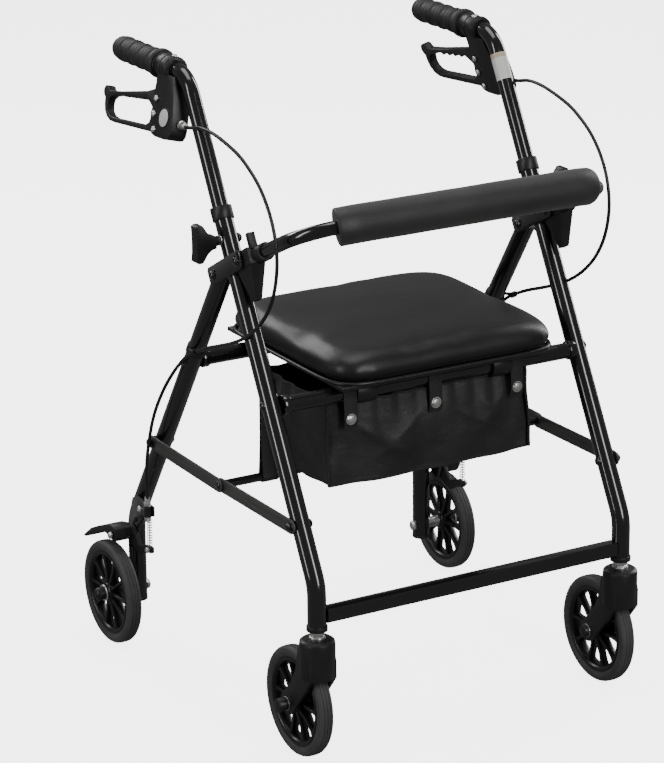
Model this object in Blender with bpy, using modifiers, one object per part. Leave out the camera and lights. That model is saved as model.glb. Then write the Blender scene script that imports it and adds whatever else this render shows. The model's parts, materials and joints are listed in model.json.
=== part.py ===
"""Folding four-wheeled rollator walker with a padded seat, bag, backrest and loop brakes.

Metres, +Z up, the user walks behind it at +Y. Lengths along Y below are measured from the caster stems;
the whole model is then moved back by HALF_DEPTH, so that the origin is the middle of its footprint.
Side -1 is the user's right hand (-X) and side +1 the left hand (+X).
"""

import math

import bmesh
import bpy
from mathutils import Matrix, Vector

for leftover in list(bpy.data.objects):
    bpy.data.objects.remove(leftover, do_unlink=True)

# ---- driving dimensions ----
GAP = 0.0003  # between pieces that touch
LEG_X = 0.2408  # both legs of a side stand in this plane
LEG_R = 0.0127
LEG_BORE_R = 0.0115
HANDLE_R = 0.0111
LEG_BEND_Z = 0.2556
LEG_SLOPE = 0.541  # rearward run of the front leg per unit of height
LEG_TILT = math.atan(LEG_SLOPE)
LEG_BOTTOM_Z = 0.1948
LEG_TOP_Z = 0.7075
COLLAR_Z = 0.7030
BRACKET_Z = 0.6388
BOLT_OFFSET = 0.0375  # bracket bolts in front of and behind the front leg's axis
BRACKET_HALF = 0.017
SLOT_HALF = 0.014
WHEEL_R = 0.076
TYRE_HALF = 0.011
RIM_R = 0.0615
CASTER_TRAIL = 0.0495
REAR_AXLE_Y = 0.5268
REAR_WHEEL_X = 0.2826
REAR_SLOPE = 0.655
HALF_DEPTH = (REAR_AXLE_Y + CASTER_TRAIL) / 2
GRIP_Z = 0.8735
HOUSING_TILT = math.radians(15)
FRONT_BAR = (0.108, 0.472)
REAR_BAR_Z = 0.474
SEAT_BAR_R = 0.011
SEAT_BOARD = (0.486, 0.492)
SEAT_TOP_Z = 0.528
SEAT_X = (-0.166, 0.192)  # it sits a little to the left
SEAT_Y = (0.064, 0.405)
BRACE_F = (0.0396, 0.3291)
BRACE_M = (0.2331, 0.3267)
BRACE_R = (0.4328, 0.3285)
FRONT_BRACE_X = 0.2555
REAR_BRACE_X = 0.2591
BRACE_HALF = 0.0015
PIN_R = 0.0042
BACK_X = 0.2365
BACK_TUBE_R = 0.0095
BACK_PAD = (0.021, 0.730)
BACK_PAD_R = 0.025
BACK_PAD_HALF = 0.192
BACK_BEND = 0.070
BAG_TOP_Z = 0.4540
BAG_BOTTOM_Z = 0.346
BRAKE_PIVOT = (0.506, 0.171)
BRAKE_X = 0.262
BRAKE_CLOSE = math.radians(8)

parts = bpy.data.collections.new("rollator_walker")
bpy.context.scene.collection.children.link(parts)
origin = bpy.data.objects.new("footprint_centre", None)
origin.location = (0, -HALF_DEPTH, 0)
parts.objects.link(origin)


def leg_y(z):
    """The front leg's axis, above its bend."""
    return LEG_SLOPE * (z - LEG_BEND_Z)


LEG_UP = Vector((0, math.sin(LEG_TILT), math.cos(LEG_TILT)))
LEG_ACROSS = Vector((0, math.cos(LEG_TILT), -math.sin(LEG_TILT)))  # rearward, square to the leg
BRACKET = Vector((0, leg_y(BRACKET_Z), BRACKET_Z))
BACK_PIVOT = BRACKET - LEG_ACROSS * BOLT_OFFSET
FOLD_PIVOT = BRACKET + LEG_ACROSS * BOLT_OFFSET


def rear_leg_y(z):
    """The rear leg's axis, above its bend."""
    return FOLD_PIVOT.y + REAR_SLOPE * (FOLD_PIVOT.z - z)


# ---- materials ----
def material(name, colour, roughness, metallic=0.0):
    made = bpy.data.materials.new(name)
    made.use_nodes = True
    shader = made.node_tree.nodes["Principled BSDF"]
    shader.inputs["Base Color"].default_value = (*colour, 1)
    shader.inputs["Roughness"].default_value = roughness
    shader.inputs["Metallic"].default_value = metallic
    return made


PAINT = material("black_paint", (0.012, 0.012, 0.013), 0.18, 0.3)
PLASTIC = material("black_plastic", (0.03, 0.03, 0.032), 0.45)
RUBBER = material("grip_rubber", (0.02, 0.02, 0.02), 0.6)
TYRE = material("tyre_rubber", (0.035, 0.035, 0.038), 0.7)
STEEL = material("bright_steel", (0.6, 0.6, 0.6), 0.25, 1.0)
BRACE_PAINT = material("satin_grey_paint", (0.09, 0.09, 0.085), 0.4, 0.5)
VINYL = material("seat_vinyl", (0.03, 0.03, 0.03), 0.5)
FOAM = material("backrest_foam", (0.04, 0.038, 0.037), 0.6)
NYLON = material("bag_nylon", (0.03, 0.03, 0.03), 0.75)
SHEATH = material("cable_sheath", (0.015, 0.015, 0.015), 0.4)


# ---- shape helpers ----
def linked(name, data, matrix=None):
    made = bpy.data.objects.new(name, data)
    made.matrix_world = matrix or Matrix.Identity(4)
    parts.objects.link(made)
    return made


def frame_of(origin_point, x_axis, y_axis):
    """A matrix with its X and Y along the given directions."""
    x = Vector(x_axis).normalized()
    y = Vector(y_axis).normalized()
    made = Matrix((x, y, x.cross(y))).transposed().to_4x4()
    made.translation = Vector(origin_point)
    return made


def side_plane(x, y=0.0, z=0.0):
    """A flat outline's own x runs rearward, its y upward and its thickness across the walker."""
    return frame_of((x, y, z), (0, 1, 0), (0, 0, 1))


def solid(piece):
    """The piece as a welded mesh in world space."""
    bpy.context.view_layer.update()
    graph = bpy.context.evaluated_depsgraph_get()
    mesh = bpy.data.meshes.new_from_object(piece.evaluated_get(graph))
    mesh.transform(piece.matrix_world)
    name = piece.name
    bpy.data.objects.remove(piece, do_unlink=True)
    work = bmesh.new()
    work.from_mesh(mesh)
    bmesh.ops.remove_doubles(work, verts=work.verts, dist=0.00001)
    work.to_mesh(mesh)
    work.free()
    return linked(name, mesh)


def combine(piece, others, operation="UNION"):
    """Booleans the other solids into the piece and removes them."""
    for other in others:
        modifier = piece.modifiers.new("combine", "BOOLEAN")
        modifier.operation = operation
        modifier.solver = "EXACT"
        modifier.object = other
    piece = solid(piece)
    for other in others:
        bpy.data.objects.remove(other, do_unlink=True)
    return piece


def cut(piece, cutters):
    return combine(piece, cutters, "DIFFERENCE")


def rounded(corners, radius, steps=5):
    """A path through the corners with each inner corner turned into an arc."""
    corners = [Vector(c) for c in corners]
    path = [corners[0]]
    for before, corner, after in zip(corners, corners[1:], corners[2:]):
        into = (corner - before).normalized()
        out = (after - corner).normalized()
        turn = into.angle(out)
        start = corner - into * radius * math.tan(turn / 2)
        normal = into.cross(out).normalized()
        centre = start + normal.cross(into) * radius
        for step in range(steps + 1):
            spin = Matrix.Rotation(turn * step / steps, 3, normal)
            path.append(centre + spin @ (start - centre))
    return path + [corners[-1]]


def tube(path, radius, sides=16):
    curve = bpy.data.curves.new("tube", "CURVE")
    curve.dimensions = "3D"
    curve.bevel_depth = radius
    curve.bevel_resolution = (sides - 4) // 2
    curve.use_fill_caps = True
    spline = curve.splines.new("POLY")
    spline.points.add(len(path) - 1)
    for point, place in zip(spline.points, path):
        point.co = (*place, 1)
    return linked("tube", curve)


def rod(start, end, radius, sides=16):
    """A plain closed cylinder between two points."""
    start, end = Vector(start), Vector(end)
    mesh = bpy.data.meshes.new("rod")
    work = bmesh.new()
    turn = (end - start).to_track_quat("Z", "Y").to_matrix().to_4x4()
    bmesh.ops.create_cone(
        work,
        cap_ends=True,
        segments=sides,
        radius1=radius,
        radius2=radius,
        depth=(end - start).length,
        matrix=Matrix.Translation((start + end) / 2) @ turn,
    )
    work.to_mesh(mesh)
    work.free()
    return linked("rod", mesh)


def block(low, high, matrix=None):
    mesh = bpy.data.meshes.new("block")
    work = bmesh.new()
    low, high = Vector(low), Vector(high)
    size = Matrix.Diagonal((*(high - low), 1))
    bmesh.ops.create_cube(work, size=1, matrix=Matrix.Translation((low + high) / 2) @ size)
    work.to_mesh(mesh)
    work.free()
    mesh.transform(matrix or Matrix.Identity(4))
    return linked("block", mesh)


def plate(loops, half, matrix):
    """A flat outline, with any holes as further loops, extruded half each way."""
    curve = bpy.data.curves.new("plate", "CURVE")
    curve.dimensions = "2D"
    curve.fill_mode = "BOTH"
    curve.extrude = half
    for loop in loops:
        spline = curve.splines.new("POLY")
        spline.points.add(len(loop) - 1)
        for point, (x, y) in zip(spline.points, loop):
            point.co = (x, y, 0, 1)
        spline.use_cyclic_u = True
    return solid(linked("plate", curve, matrix))


def turned(profile, steps, start, axis):
    """A profile of (radius, distance along the axis) pairs, far end first, turned about the axis."""
    mesh = bpy.data.meshes.new("turned")
    closed = profile[0][0] > 0
    edges = [(i, i + 1) for i in range(len(profile) - 1)]
    if closed:
        edges.append((len(profile) - 1, 0))
    mesh.from_pydata([(radius, 0, height) for radius, height in profile], edges, [])
    turn = Vector(axis).to_track_quat("Z", "Y").to_matrix().to_4x4()
    piece = linked("turned", mesh, Matrix.Translation(start) @ turn)
    screw = piece.modifiers.new("turn", "SCREW")
    screw.steps = steps
    screw.render_steps = steps
    screw.use_merge_vertices = True
    screw.merge_threshold = 0.00001
    return solid(piece)


def circle(centre, radius, count=16):
    angles = [math.tau * i / count for i in range(count)]
    return [(centre[0] + radius * math.cos(a), centre[1] + radius * math.sin(a)) for a in angles]


def capsule(start, end, radius, count=6):
    """A bar's outline with round ends."""
    start, end = Vector(start), Vector(end)
    heading = math.atan2((end - start).y, (end - start).x)
    loop = []
    for centre, first in ((end, -math.pi / 2), (start, math.pi / 2)):
        for step in range(count + 1):
            angle = heading + first + math.pi * step / count
            loop.append((centre.x + radius * math.cos(angle), centre.y + radius * math.sin(angle)))
    return loop


def node(name, piece, look, pivot=(0, 0, 0)):
    """Names the piece, gives it its material and puts its origin on its joint's axis."""
    if piece.type == "MESH":
        piece.data.transform(Matrix.Translation(-Vector(pivot)))
        piece.matrix_world = Matrix.Translation(Vector(pivot))
        piece.data.shade_smooth()
        piece.data.set_sharp_from_angle(angle=math.radians(35))
    piece.name = name
    piece.data.name = name
    piece.data.materials.clear()
    piece.data.materials.append(look)
    piece.parent = origin
    return piece


def side_name(side):
    return "left" if side > 0 else "right"


# ---- front frame ----
def front_leg(side):
    x = side * LEG_X
    corners = [(x, 0, LEG_BOTTOM_Z), (x, 0, LEG_BEND_Z), (x, leg_y(LEG_TOP_Z), LEG_TOP_Z)]
    leg = solid(tube(rounded(corners, 0.06), LEG_R))
    top = Vector(corners[2])
    stem_bore = rod((x, 0, LEG_BOTTOM_Z - 0.01), (x, 0, 0.2355), 0.0066)
    handle_bore = rod(top + LEG_UP * 0.01, top - LEG_UP * 0.268, LEG_BORE_R)
    knob_at = Vector((x, leg_y(KNOB_Z), KNOB_Z))
    knob_bore = rod(knob_at + Vector((side * 0.008, 0, 0)), knob_at + Vector((side * 0.02, 0, 0)), 0.0034)
    leg = cut(leg, [stem_bore, handle_bore, knob_bore])
    pin = rod((x, *BRACE_F), (side * 0.2590, *BRACE_F), PIN_R, 12)
    head = rod((side * 0.2574, *BRACE_F), (side * 0.2600, *BRACE_F), 0.0075, 12)
    return combine(leg, [pin, head])


def hinge_bracket(side):
    """Two cheeks on a block that the front leg runs through, with a bolt across each end."""
    centre = Vector((side * LEG_X, BRACKET.y, BRACKET.z))
    plane = frame_of(centre, LEG_ACROSS, LEG_UP)
    inner = SLOT_HALF + 0.003
    length, height, corner = 0.0505, 0.0125, 0.0040
    outline = [
        (-length, -height + corner), (-length + corner, -height), (length - corner, -height),
        (length, -height + corner), (length, height - corner), (length - corner, height),
        (-length + corner, height), (-length, height - corner),
    ]
    bracket = plate([outline], BRACKET_HALF, plane)
    leg_bore = rod(centre - LEG_UP * 0.03, centre + LEG_UP * 0.03, LEG_R + GAP)
    slots = [
        block((inner, -0.02, -SLOT_HALF), (0.07, 0.02, SLOT_HALF), plane),
        block((-0.07, -0.02, -SLOT_HALF), (-inner, 0.02, SLOT_HALF), plane),
    ]
    bracket = cut(bracket, [leg_bore, *slots])
    bolts = []
    for pivot in (BACK_PIVOT, FOLD_PIVOT):
        at = Vector((side * LEG_X, pivot.y, pivot.z))
        reach = Vector((BRACKET_HALF - 0.001, 0, 0))
        bolts.append(rod(at - reach, at + reach, 0.003, 12))
    return combine(bracket, bolts)


def leg_collar(side):
    low, lip, high = -0.009, 0.0056, 0.0086
    inner, mouth, outer = LEG_R + GAP, HANDLE_R + GAP, 0.0150
    profile = [(mouth, high), (outer, high), (outer, low), (inner, low), (inner, lip), (mouth, lip)]
    return turned(profile, 20, (side * LEG_X, leg_y(COLLAR_Z), COLLAR_Z), LEG_UP)


def bag():
    """A fabric box, open at the top, that narrows a little towards its floor."""
    wall = 0.003
    top = ((-0.160, 0.103), (0.160, 0.300))
    shell = block((top[0][0], top[0][1], BAG_BOTTOM_Z), (top[1][0], top[1][1], BAG_TOP_Z))
    inside = block(
        (top[0][0] + wall, top[0][1] + wall, BAG_BOTTOM_Z + wall),
        (top[1][0] - wall, top[1][1] - wall, BAG_TOP_Z + 0.02),
    )
    return cut(shell, [inside])


KNOB_Z = 0.672


def height_knob(side):
    """A wing knob whose screw presses on the handle tube through the leg's outer wall."""
    at = Vector((side * LEG_X, leg_y(KNOB_Z), KNOB_Z))
    wing = [
        (0.0215, -0.0080), (0.0290, -0.0100), (0.0350, -0.0150), (0.0395, -0.0220), (0.0425, -0.0258),
        (0.0480, -0.0262), (0.0520, -0.0240), (0.0510, -0.0100), (0.0510, 0.0100), (0.0520, 0.0240),
        (0.0480, 0.0262), (0.0425, 0.0258), (0.0395, 0.0220), (0.0350, 0.0150), (0.0290, 0.0100),
        (0.0215, 0.0080),
    ]
    plane = frame_of(at, (side, 0, 0), (0, 0, 1))
    knob = plate([wing], 0.008, plane)
    screw = rod(at + Vector((side * 0.0118, 0, 0)), at + Vector((side * 0.03, 0, 0)), 0.003, 12)
    boss = rod(at + Vector((side * 0.0165, 0, 0)), at + Vector((side * 0.03, 0, 0)), 0.0070, 12)
    return combine(knob, [boss, screw]), at


def brake_cable(side):
    """The sheath, held at both ends and clipped to the rear leg."""
    route = [
        (0.2580, 0.3065, 0.8085), (0.2578, 0.2930, 0.8105), (0.2575, 0.2650, 0.8160),
        (0.2570, 0.2320, 0.8155), (0.2567, 0.1940, 0.8090), (0.2565, 0.1600, 0.8000),
        (0.2565, 0.1315, 0.7865), (0.2565, 0.1090, 0.7715), (0.2565, 0.0900, 0.7520),
        (0.2565, 0.0755, 0.7290), (0.2565, 0.0675, 0.7050), (0.2565, 0.0650, 0.6800),
        (0.2565, 0.0690, 0.6540), (0.2565, 0.0790, 0.6280), (0.2565, 0.0960, 0.6030),
        (0.2567, 0.1200, 0.5800), (0.2568, 0.1490, 0.5600), (0.2569, 0.1850, 0.5420),
        (0.2570, 0.2240, 0.5270), (0.2570, 0.2630, 0.5130), (0.2570, 0.3000, 0.4970),
        (0.2580, 0.3240, 0.4830), (0.2600, 0.3460, 0.4640), (0.2630, 0.3680, 0.4390),
        (0.2660, 0.3880, 0.4100), (0.2685, 0.4050, 0.3780), (0.2700, 0.4170, 0.3440),
        (0.2695, 0.4280, 0.3100), (0.2670, 0.4370, 0.2790), (0.2635, 0.4440, 0.2510),
        (0.2620, 0.4470, 0.2296),
    ]
    return tube([(side * x, y, z) for x, y, z in route], 0.0025, 8)


# ---- handles ----
def handle_path(side):
    x = side * LEG_X
    top = Vector((x, leg_y(COLLAR_Z), COLLAR_Z))
    corners = [top - LEG_UP * 0.150, (x, leg_y(GRIP_Z), GRIP_Z), (x, 0.5290, GRIP_Z)]
    return rounded(corners, 0.05, 8)


def handle_tube(side):
    return solid(tube(handle_path(side), HANDLE_R))


def hand_grip(side):
    """A rubber sleeve with four finger swells and a flange, closed at the back."""
    start, length, depth, bore = 0.4035, 0.1290, 0.1260, HANDLE_R + GAP
    profile = [(0, length), (0.0125, length), (0.0165, length - 0.004)]
    for swell in range(4):
        back = length - 0.008 - swell * 0.027
        profile += [(0.0178, back), (0.0182, back - 0.010), (0.0160, back - 0.020)]
    profile += [(0.0170, 0.010), (0.0205, 0.007), (0.0205, 0.0), (bore, 0.0), (bore, depth), (0, depth)]
    return turned(profile, 16, (side * LEG_X, start, GRIP_Z), (0, 1, 0))


def housing_plane(side, across=0.0):
    """The tilted plane of a brake housing and its lever: own x rearward, own y up, thickness across."""
    up = Vector((-side * math.sin(HOUSING_TILT), 0, math.cos(HOUSING_TILT)))
    plane = frame_of((side * LEG_X, 0, GRIP_Z), (0, 1, 0), up)
    return plane @ Matrix.Translation((0, 0, across))


def below_grip(z):
    """Height in the housing's plane of a level below the grip."""
    return (z - GRIP_Z) / math.cos(HOUSING_TILT)


LEVER_PIVOT = (0.3785, below_grip(0.8310))


def brake_housing(side):
    plane = housing_plane(side)
    body = [
        (0.3460, -0.008), (0.3420, below_grip(0.8550)), (0.3330, below_grip(0.8390)),
        (0.3265, below_grip(0.8190)), (0.3225, below_grip(0.8010)), (0.3230, below_grip(0.7930)),
        (0.3280, below_grip(0.7870)), (0.3370, below_grip(0.7845)), (0.3620, below_grip(0.7835)),
        (0.3730, below_grip(0.7850)), (0.3790, below_grip(0.7890)), (0.3800, below_grip(0.7980)),
        (0.3850, below_grip(0.8040)), (0.3870, below_grip(0.8110)), (0.3855, below_grip(0.8190)),
        (0.3875, below_grip(0.8260)), (0.3885, below_grip(0.8350)), (0.3890, below_grip(0.8500)),
        (0.3920, -0.008),
    ]
    housing = plate([body], 0.0125, plane)
    ring = rod((side * LEG_X, 0.3630, GRIP_Z), (side * LEG_X, 0.4030, GRIP_Z), 0.0165, 20)
    housing = combine(housing, [ring])
    bore = solid(tube(handle_path(side), HANDLE_R + GAP))
    slot = block((0.3635, below_grip(0.7750), -0.0066), (0.43, below_grip(0.8480), 0.0066), plane)
    housing = cut(housing, [bore, slot])
    middle = plane @ Vector((*LEVER_PIVOT, 0))
    reach = plane.to_3x3() @ Vector((0, 0, 0.0120))
    return combine(housing, [rod(middle - reach, middle + reach, 0.003, 12)])


def cable_adjuster(side):
    profile = [(0, 0.0145), (0.0032, 0.0145), (0.0032, 0.011), (0.0048, 0.011), (0.0048, 0.003)]
    profile += [(0.0062, 0.003), (0.0062, 0), (0, 0)]
    return turned(profile, 12, (side * 0.2580, 0.3219, 0.8085), (0, -1, 0))


def brake_lever(side):
    """A closed finger loop with grooves under its top bar and an upturned knob at its back corner."""
    outer = [
        (0.3710, below_grip(0.8420)), (0.3700, below_grip(0.8200)), (0.3730, below_grip(0.8060)),
        (0.3740, below_grip(0.7940)), (0.3780, below_grip(0.7880)), (0.3860, below_grip(0.7855)),
        (0.4455, below_grip(0.7815)), (0.4960, below_grip(0.7765)), (0.5090, below_grip(0.7765)),
        (0.5200, below_grip(0.7800)), (0.5290, below_grip(0.7870)), (0.5335, below_grip(0.7960)),
        (0.5355, below_grip(0.8035)), (0.5400, below_grip(0.8060)), (0.5435, below_grip(0.8105)),
        (0.5430, below_grip(0.8160)), (0.5385, below_grip(0.8195)), (0.5325, below_grip(0.8195)),
        (0.5280, below_grip(0.8160)), (0.5240, below_grip(0.8145)), (0.4900, below_grip(0.8200)),
        (0.4500, below_grip(0.8280)), (0.4200, below_grip(0.8340)), (0.3930, below_grip(0.8435)),
        (0.3800, below_grip(0.8450)),
    ]
    grooves = []
    for groove in range(5):
        back = 0.4120 + groove * 0.0170
        level = 0.8228 - groove * 0.0022
        grooves += [
            (back, below_grip(level)), (back + 0.0060, below_grip(level + 0.0022)),
            (back + 0.0110, below_grip(level + 0.0016)),
        ]
    inner = grooves + [
        (0.5000, below_grip(0.8125)), (0.5160, below_grip(0.8085)), (0.5235, below_grip(0.8030)),
        (0.5245, below_grip(0.7950)), (0.5205, below_grip(0.7880)), (0.5120, below_grip(0.7835)),
        (0.5000, below_grip(0.7825)), (0.4500, below_grip(0.7875)), (0.4080, below_grip(0.7910)),
        (0.3990, below_grip(0.7960)), (0.3960, below_grip(0.8050)), (0.3990, below_grip(0.8170)),
    ]
    return plate([outer, inner, circle(LEVER_PIVOT, 0.0034, 12)], 0.0060, housing_plane(side))


# ---- backrest ----
def backrest_path(steps=9):
    """The tube's axis, from one socket round both bends to the other."""
    reach = (Vector((0, *BACK_PAD)) - BACK_PIVOT).normalized()
    start = BACK_PIVOT + reach * 0.024
    corners = [
        (-BACK_X, start.y, start.z), (-BACK_X, *BACK_PAD), (BACK_X, *BACK_PAD),
        (BACK_X, start.y, start.z),
    ]
    return rounded(corners, BACK_BEND, steps)


def backrest_tube():
    return solid(tube(backrest_path(), BACK_TUBE_R, 12))


def backrest_pad():
    """Foam along the middle of the tube and a little way into both of its bends."""
    path = backrest_path()
    middle = [p for p in path if abs(p.x) < BACK_PAD_HALF - 0.002]
    ends = []
    first, last = path.index(middle[0]), path.index(middle[-1])
    for inside, beyond in ((middle[0], path[first - 1]), (middle[-1], path[last + 1])):
        share = (BACK_PAD_HALF - abs(inside.x)) / (abs(beyond.x) - abs(inside.x))
        ends.append(inside.lerp(beyond, share))
    pad = solid(tube([ends[0], *middle, ends[1]], BACK_PAD_R, 20))
    return cut(pad, [solid(tube(path, BACK_TUBE_R + GAP, 12))])


def backrest_wedge(plane):
    """The ribbed wedge under the socket, thinner towards its tip."""
    top = (-0.0290, 0.0150, -0.0100, 0.0110)
    tip = (-0.0050, 0.0070, -0.0560, 0.0045)
    mesh = bpy.data.meshes.new("wedge")
    work = bmesh.new()
    for low, high, level, half in (top, tip):
        for along, out in ((low, -half), (high, -half), (high, half), (low, half)):
            work.verts.new(plane @ Vector((along, level, out)))
    bmesh.ops.convex_hull(work, input=list(work.verts))
    work.to_mesh(mesh)
    work.free()
    return linked("wedge", mesh)


def backrest_socket(side):
    """A lug on the bracket's front bolt, a sleeve for the tube, and a wedge that stops on the leg."""
    pivot = Vector((side * LEG_X, BACK_PIVOT.y, BACK_PIVOT.z))
    plane = frame_of(pivot, LEG_ACROSS, LEG_UP)
    lug = [
        (-0.0290, 0.0105), (-0.0310, -0.0040), (-0.0300, -0.0120), (0.0120, -0.0120), (0.0120, 0.0060),
        (0.0070, 0.0105),
    ]
    socket = plate([lug], 0.0125, plane)
    reach = (Vector((0, *BACK_PAD)) - BACK_PIVOT).normalized()
    mouth = Vector((side * BACK_X, pivot.y, pivot.z))
    sleeve = rod(mouth + reach * 0.0163, mouth + reach * 0.050, 0.0125, 16)
    tab = block((-0.0330, 0.008, -0.0070), (-0.0250, 0.0290, 0.0030), plane)
    socket = combine(socket, [sleeve, tab, backrest_wedge(plane)])
    tube_bore = rod(mouth + reach * 0.0232, mouth + reach * 0.07, BACK_TUBE_R + GAP, 16)
    across = Vector((0.03, 0, 0))
    bolt_bore = rod(pivot - across, pivot + across, 0.0034, 12)
    return cut(socket, [tube_bore, bolt_bore])


# ---- seat ----
def seat_pad():
    pad = block((SEAT_X[0], SEAT_Y[0], SEAT_BOARD[1] + GAP), (SEAT_X[1], SEAT_Y[1], SEAT_TOP_Z))
    bevel = pad.modifiers.new("soft_edges", "BEVEL")
    bevel.width = 0.010
    bevel.segments = 2
    return solid(pad)


def seat_board():
    inset = 0.010
    low = (SEAT_X[0] + inset, SEAT_Y[0] + inset, SEAT_BOARD[0])
    return block(low, (SEAT_X[1] - inset, SEAT_Y[1] - inset, SEAT_BOARD[1]))


def seat_hinge_clip(side):
    """A plastic saddle clipped round the front bar, flat against the seat board."""
    top = SEAT_BOARD[0] - FRONT_BAR[1] - GAP
    radius, grip = 0.0165, SEAT_BAR_R + GAP
    first = math.asin(top / radius)
    sweep = math.tau - (math.pi - 2 * first)
    arc = [math.pi - first + sweep * i / 14 for i in range(15)]
    outer = [(radius * math.cos(a), radius * math.sin(a)) for a in arc]
    loops = [outer, circle((0, 0), grip, 16)]
    return plate(loops, 0.015, side_plane(side * 0.1064, *FRONT_BAR))


# ---- rear frame ----
def rear_leg(side):
    x = side * LEG_X
    bend_z = FOLD_PIVOT.z - (REAR_AXLE_Y - FOLD_PIVOT.y) / REAR_SLOPE
    along = Vector((0, REAR_SLOPE, -1)).normalized()
    top = Vector((x, FOLD_PIVOT.y, FOLD_PIVOT.z)) - along * 0.0115
    corners = [top, (x, REAR_AXLE_Y, bend_z), (x, REAR_AXLE_Y, 0.058)]
    leg = solid(tube(rounded(corners, 0.07), LEG_R))
    hole = rod((x - 0.02, FOLD_PIVOT.y, FOLD_PIVOT.z), (x + 0.02, FOLD_PIVOT.y, FOLD_PIVOT.z), 0.0034, 12)
    leg = cut(leg, [hole])
    axle = (REAR_AXLE_Y, WHEEL_R)
    additions = [
        ((side * 0.2290, *axle), (side * 0.3000, *axle), 0.0040),
        ((side * 0.2400, *axle), (side * 0.2702, *axle), 0.0080),
        ((side * 0.2950, *axle), (side * 0.3100, *axle), 0.0095),
        ((x, *BRACE_R), (side * 0.2573, *BRACE_R), 0.0085),
        ((x, *BRACE_R), (side * 0.2620, *BRACE_R), PIN_R),
        ((side * 0.2610, *BRACE_R), (side * 0.2634, *BRACE_R), 0.0070),
    ]
    return combine(leg, [rod(start, end, radius, 12) for start, end, radius in additions])


def brake_bracket(side):
    """A plate on the leg with the cable stop at its front and the brake arm's pivot at its back."""
    outline = [
        (0.4400, 0.2280), (0.4400, 0.2140), (0.4620, 0.2060), (0.4850, 0.1850), (0.4940, 0.1620),
        (0.5060, 0.1560), (0.5190, 0.1620), (0.5220, 0.1800), (0.5060, 0.2220), (0.4900, 0.2300),
    ]
    bracket = plate([outline], 0.0014, side_plane(side * 0.2554))
    stop = rod((side * BRAKE_X, 0.4470, 0.2130), (side * BRAKE_X, 0.4470, 0.2292), 0.0058, 12)
    pin = rod((side * 0.2560, *BRAKE_PIVOT), (side * 0.2925, *BRAKE_PIVOT), 0.0035, 12)
    head = rod((side * 0.2905, *BRAKE_PIVOT), (side * 0.2925, *BRAKE_PIVOT), 0.0060, 12)
    return combine(bracket, [stop, pin, head])


def brake_arm(side):
    """A cranked arm whose shoe lies round the tyre when the arm has turned by BRAKE_CLOSE."""
    crank = [
        (0.5060, 0.1830), (0.4940, 0.1800), (0.4740, 0.1600), (0.4520, 0.1680), (0.4370, 0.1680),
        (0.4370, 0.1600), (0.4500, 0.1580), (0.4710, 0.1460), (0.4850, 0.1500), (0.5080, 0.1590),
        (0.5180, 0.1700),
    ]
    arm = plate([crank], 0.0030, side_plane(side * (BRAKE_X - 0.0010)))
    heel, toe = Vector((0.5220, 0.1685)), Vector((0.5900, 0.1277))  # the shoe's toothed face, closed
    away = Vector((0.515, 0.857)) * 0.0022
    face = []
    for tooth in range(9):
        point = heel.lerp(toe, (tooth + 1) / 9)
        face += [point, heel.lerp(toe, (tooth + 1.4) / 9) + away] if tooth < 8 else [point]
    back = [
        (0.5985, 0.1262), (0.5750, 0.1490), (0.5540, 0.1625), (0.5300, 0.1765), (0.5110, 0.1840),
        (0.4980, 0.1830), (0.4955, 0.1700), (0.5010, 0.1620), (0.5120, 0.1640),
    ]
    opened = []
    for y, z in face + back:
        dy, dz = y - BRAKE_PIVOT[0], z - BRAKE_PIVOT[1]
        opened.append((
            BRAKE_PIVOT[0] + dy * math.cos(BRAKE_CLOSE) - dz * math.sin(BRAKE_CLOSE),
            BRAKE_PIVOT[1] + dy * math.sin(BRAKE_CLOSE) + dz * math.cos(BRAKE_CLOSE),
        ))
    low, high = 0.2630, 0.2900
    shoe = plate([opened], (high - low) / 2, side_plane(side * (low + high) / 2))
    arm = combine(arm, [shoe])
    return cut(arm, [rod((side * 0.25, *BRAKE_PIVOT), (side * 0.30, *BRAKE_PIVOT), 0.0038, 12)])


# ---- folding brace ----
def brace(start, end, x, holes):
    loops = [capsule(start, end, 0.0100)] + [circle(hole, PIN_R + GAP, 12) for hole in holes]
    return plate(loops, BRACE_HALF, side_plane(x))


def pull_strap():
    """A webbing loop round the cross rod."""
    y, z = BRACE_M
    inner, outer, angles = 0.0064, 0.0082, 14
    arc = [math.radians(110 + 320 * i / angles) for i in range(angles + 1)]
    loop = [(y + outer * math.cos(a), z + outer * math.sin(a)) for a in arc]
    loop += [(y + 0.0017, z + 0.140), (y - 0.0017, z + 0.140)]
    return plate([loop, circle((y, z), inner, 14)], 0.0125, side_plane(-0.182))


# ---- wheels ----
def tyre(centre):
    rib = TYRE_HALF * 0.35
    profile = [
        (RIM_R, 0.0085), (0.0680, TYRE_HALF), (0.0730, 0.0098), (0.0757, 0.0062), (WHEEL_R, rib),
        (WHEEL_R, -rib), (0.0757, -0.0062), (0.0730, -0.0098), (0.0680, -TYRE_HALF), (RIM_R, -0.0085),
    ]
    return turned(profile, 36, centre, (1, 0, 0))


def hub(centre):
    """Ten spokes between a rim and a boss with a clear bore."""
    spokes, rim = 10, RIM_R - GAP
    loops = [circle((0, 0), rim, 36), circle((0, 0), 0.0100, 12)]
    for spoke in range(spokes):
        middle = math.tau * (spoke + 0.5) / spokes
        window = []
        for radius, half in ((0.0210, 0.095), (0.0210, -0.095), (0.0500, -0.235), (0.0525, 0.0), (0.0500, 0.235)):
            angle = middle + half
            window.append((radius * math.cos(angle), radius * math.sin(angle)))
        loops.append(window)
    wheel = plate(loops, 0.0050, side_plane(*centre))
    boss = [(0.0046, 0.0120), (0.0135, 0.0120), (0.0155, 0.0), (0.0135, -0.0120), (0.0046, -0.0120)]
    return combine(wheel, [turned(boss, 16, centre, (1, 0, 0))])


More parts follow.
